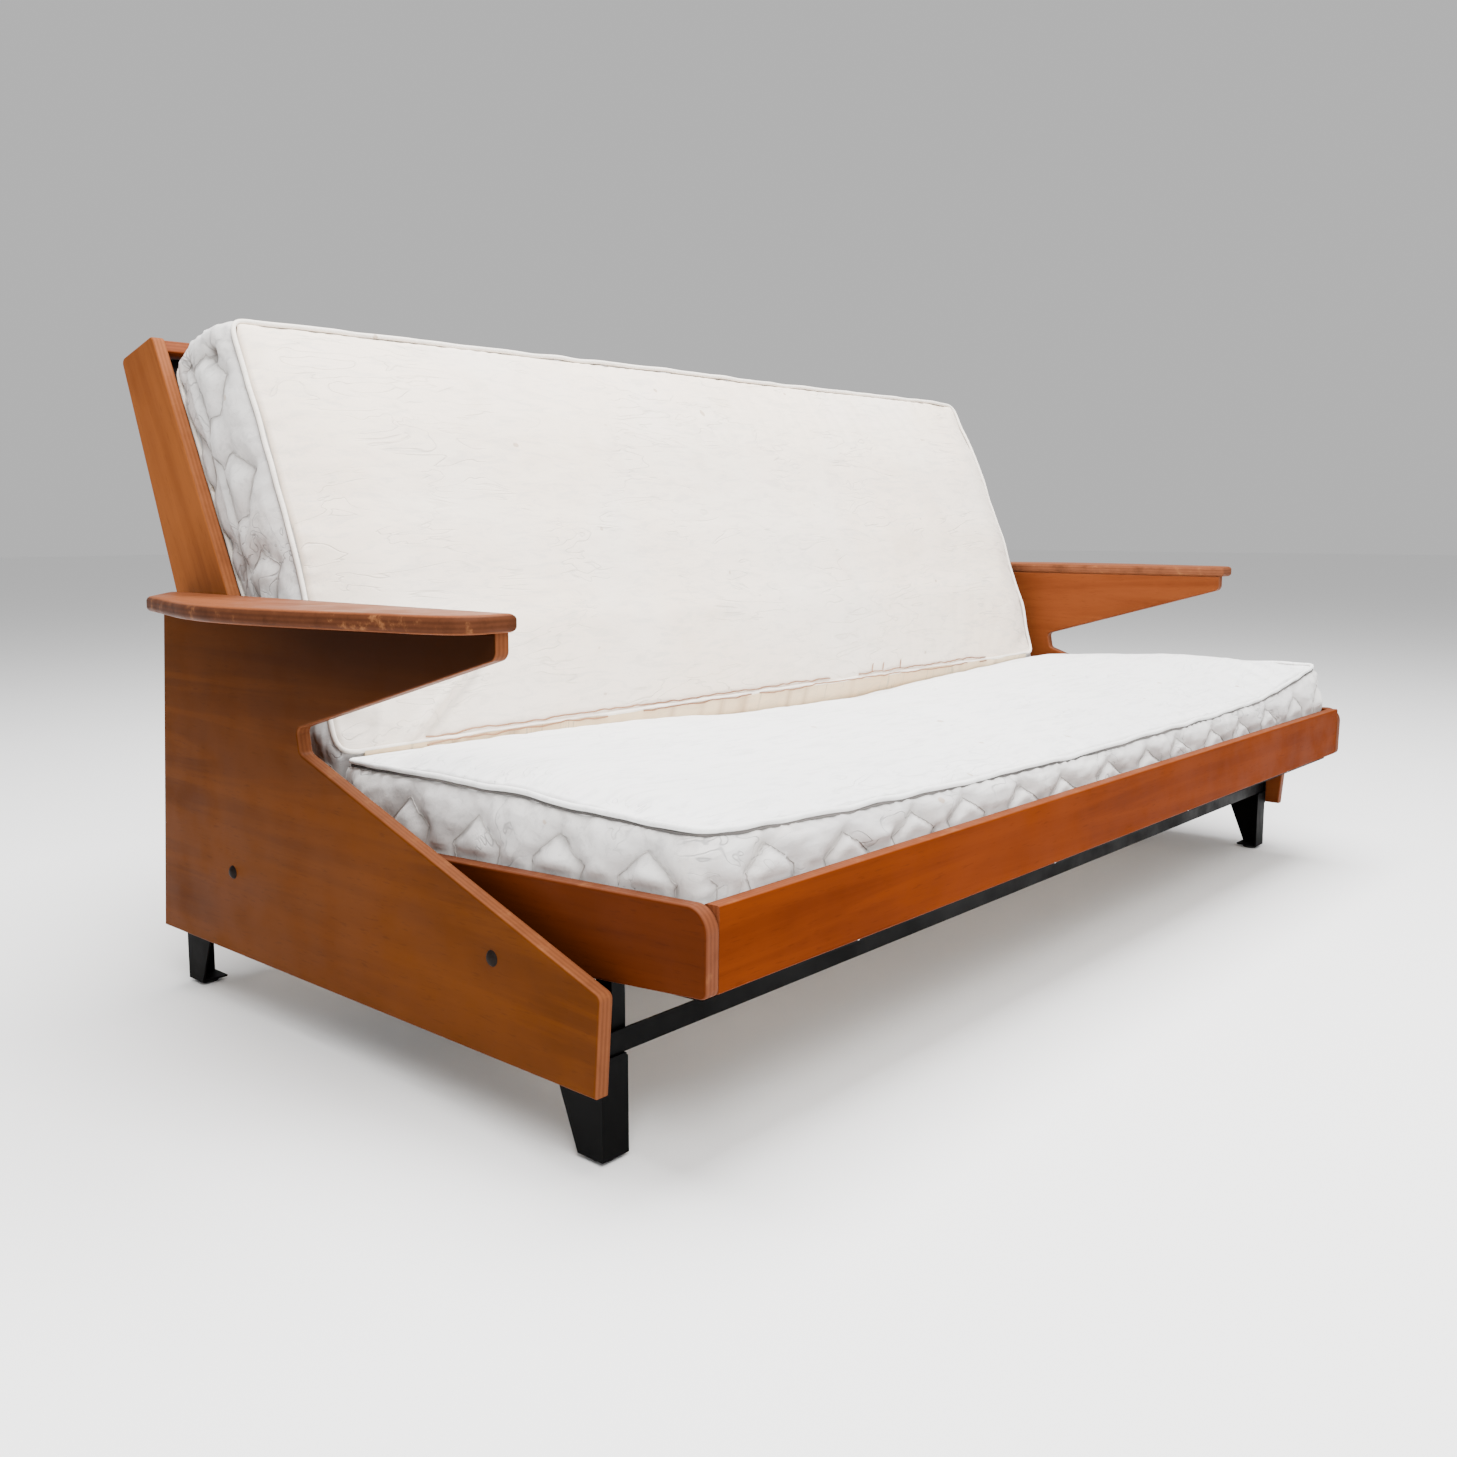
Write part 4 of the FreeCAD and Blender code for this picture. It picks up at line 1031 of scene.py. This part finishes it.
def add_mattress():
    panels = {
        "seat": canvas("canvas_seat", SEAT_SLOPE, (0.90, 0.895, 0.89), (0.86, 0.86, 0.86), 0.15,
                       crease=0.30),
        "back": canvas("canvas_back", BACK_SLOPE, (0.93, 0.80, 0.67), (0.91, 0.83, 0.74), 0.45,
                       crease=0.40),
    }
    # Colours of the dark tubes under the front piping, painted shadow: near black under the seat's piping,
    # lighter under the back's.
    seams = {
        "seat": canvas("seam_seat", SEAT_SLOPE, (0.055, 0.05, 0.048), (0.16, 0.145, 0.135), 0.0),
        "back": canvas("seam_back", BACK_SLOPE, (0.30, 0.27, 0.25), (0.62, 0.59, 0.56), 0.0),
    }
    edging = {
        "seat": canvas("cord_seat", 0.0, (0.90, 0.90, 0.89), (0.85, 0.85, 0.84), 0.0),
        "back": canvas("cord_back", 0.0, (0.92, 0.85, 0.77), (0.88, 0.82, 0.74), 0.0),
    }
    # The stitching thread is greyed from the cloth's light colour so that it also stands for the shadow
    # beside it, painted shade.
    thread = canvas("stitching", 0.0, (0.47, 0.44, 0.42), (0.38, 0.36, 0.34), 0.0)
    pads = {}
    for shape, body, slope in ((SEAT_PAD, "seat", SEAT_SLOPE), (BACK_PAD, "back", BACK_SLOPE)):
        pad = Pad(f"mattress_{body}_cover", body, shape)
        swell(pad)
        cords = [piping(pad, pad.count_z, f"piping_{body}_front", 0.0035),
                 piping(pad, 0, f"piping_{body}_rear", 0.0036)]
        lines = quilt_lines(pad)
        quilt(pad, lines)
        press_tucks(pad)
        keep_clear(pad)
        stitching = thread_lines(pad, lines, f"stitching_{body}")
        tucks = tuple(tuple(TRAY[body] @ Vector(place)) for place, _, _ in shape["tucks"])
        border = canvas(f"quilted_border_{body}", slope, (0.66, 0.645, 0.63), (0.57, 0.555, 0.55),
                        0.25, 0.9, crease=0.95, crease_scale=(11, 17, 17), tucks=tucks)
        pad.object.data.materials.append(panels[body])
        pad.object.data.materials.append(border)
        stitching.data.materials.append(thread)
        for piece in cords:
            piece.data.materials.append(edging[body])
        # A dark tube under the front piping, painted shadow of the seam's gap.
        gap = seam_line(cords[0], f"seam_{body}")
        gap.data.materials.append(seams[body])
        for piece in [pad.object, stitching, gap] + cords:
            into_tray(piece, body)
            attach(piece, body)
        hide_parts(f"mattress_{body}")
        pads[body] = pad
    add_strip(pads["seat"], pads["back"])
    add_crease_seams(pads["back"])


# ---------------------------------------------------------------- CAD nodes

def paint_node(name, material):
    node = frame["nodes"][name]
    for index in range(len(node.data.materials)):
        node.data.materials[index] = material
    if not node.data.materials:
        node.data.materials.append(material)


# Face and grain colors of the boards' veneers. One veneer comes in a lit copy, painted light, for the right
# panel. It also comes in shaded copies, painted shade, for the left panel and for the seat side boards under
# the arms.
ORANGE = (0.120, 0.021, 0.0016), (0.084, 0.0135, 0.0011)
SHADED_BROWN = (0.094, 0.0245, 0.0019), (0.068, 0.0170, 0.0014)
SUNNY = (0.130, 0.033, 0.0090), (0.095, 0.022, 0.0060)
SHADED = (0.066, 0.0125, 0.0016), (0.047, 0.0085, 0.0012)
TAN = (0.215, 0.066, 0.016), (0.16, 0.046, 0.011)
ARM_TAN = (0.17, 0.055, 0.022), (0.12, 0.036, 0.014)


def paint_side(side, number, veneer, arm_edge, arm_shade_height):
    """The boards at one end; number tells the grain of the two ends apart."""
    paint_node(f"side_panel_{side}",
               plywood(f"panel_{side}", *veneer, "X", "Y", 0.0, 0.3, 11 + number, arm_shade_height=arm_shade_height))
    paint_node(f"arm_board_{side}",
               plywood(f"arm_{side}", *ARM_TAN, "Z", "Y", 0.0, 0.1, 21 + number, 0.75, arm_edge))
    # The seat side boards under the arms take a shaded copy of the veneer, painted shade.
    paint_node(f"seat_side_board_{side}",
               plywood(f"seat_board_{side}", *SHADED, "X", "Y", SEAT_SLOPE, 0.6, 31 + number))
    paint_node(f"back_side_board_{side}",
               plywood(f"back_board_{side}", *TAN, "X", "Y", BACK_SLOPE, 0.6, 41 + number))


def paint_frame():
    shared = {
        "black_steel": black_paint(),
        "zinc_steel": bare_metal("zinc_steel", (0.55, 0.55, 0.56), 0.35),
        "dark_caps": moulded_plastic("dark_caps", (0.007, 0.0045, 0.0035)),
        "black_plastic": moulded_plastic("black_plastic", (0.02, 0.02, 0.02)),
        "beech": beech_slat("beech_dowel", 0.0),
    }
    for entry in frame["record"]["subparts"]:
        if entry["material_slot"] in shared:
            paint_node(entry["node"], shared[entry["material_slot"]])
    paint_node("seat_slats", beech_slat("beech_seat", SEAT_SLOPE))
    paint_node("back_slats", beech_slat("beech_back", BACK_SLOPE))
    # The left panel takes a shaded copy of the veneer, painted shade, and is painted darker still under its
    # arm board. The right panel takes a lit copy, painted light.
    paint_side("left", 0, SHADED_BROWN, 0.33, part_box("arm_board_left")[0].z)
    paint_side("right", 1, SUNNY, 0.62, 0.0)
    paint_node("seat_front_board",
               plywood("front_board", *ORANGE, "Y", "X", SEAT_SLOPE, 0.2, 51, shine=0.006))
    paint_node("back_top_board", plywood("top_board", *ORANGE, "Y", "X", BACK_SLOPE, 0.2, 61))


add_camera()
add_studio()
paint_frame()
add_mattress()
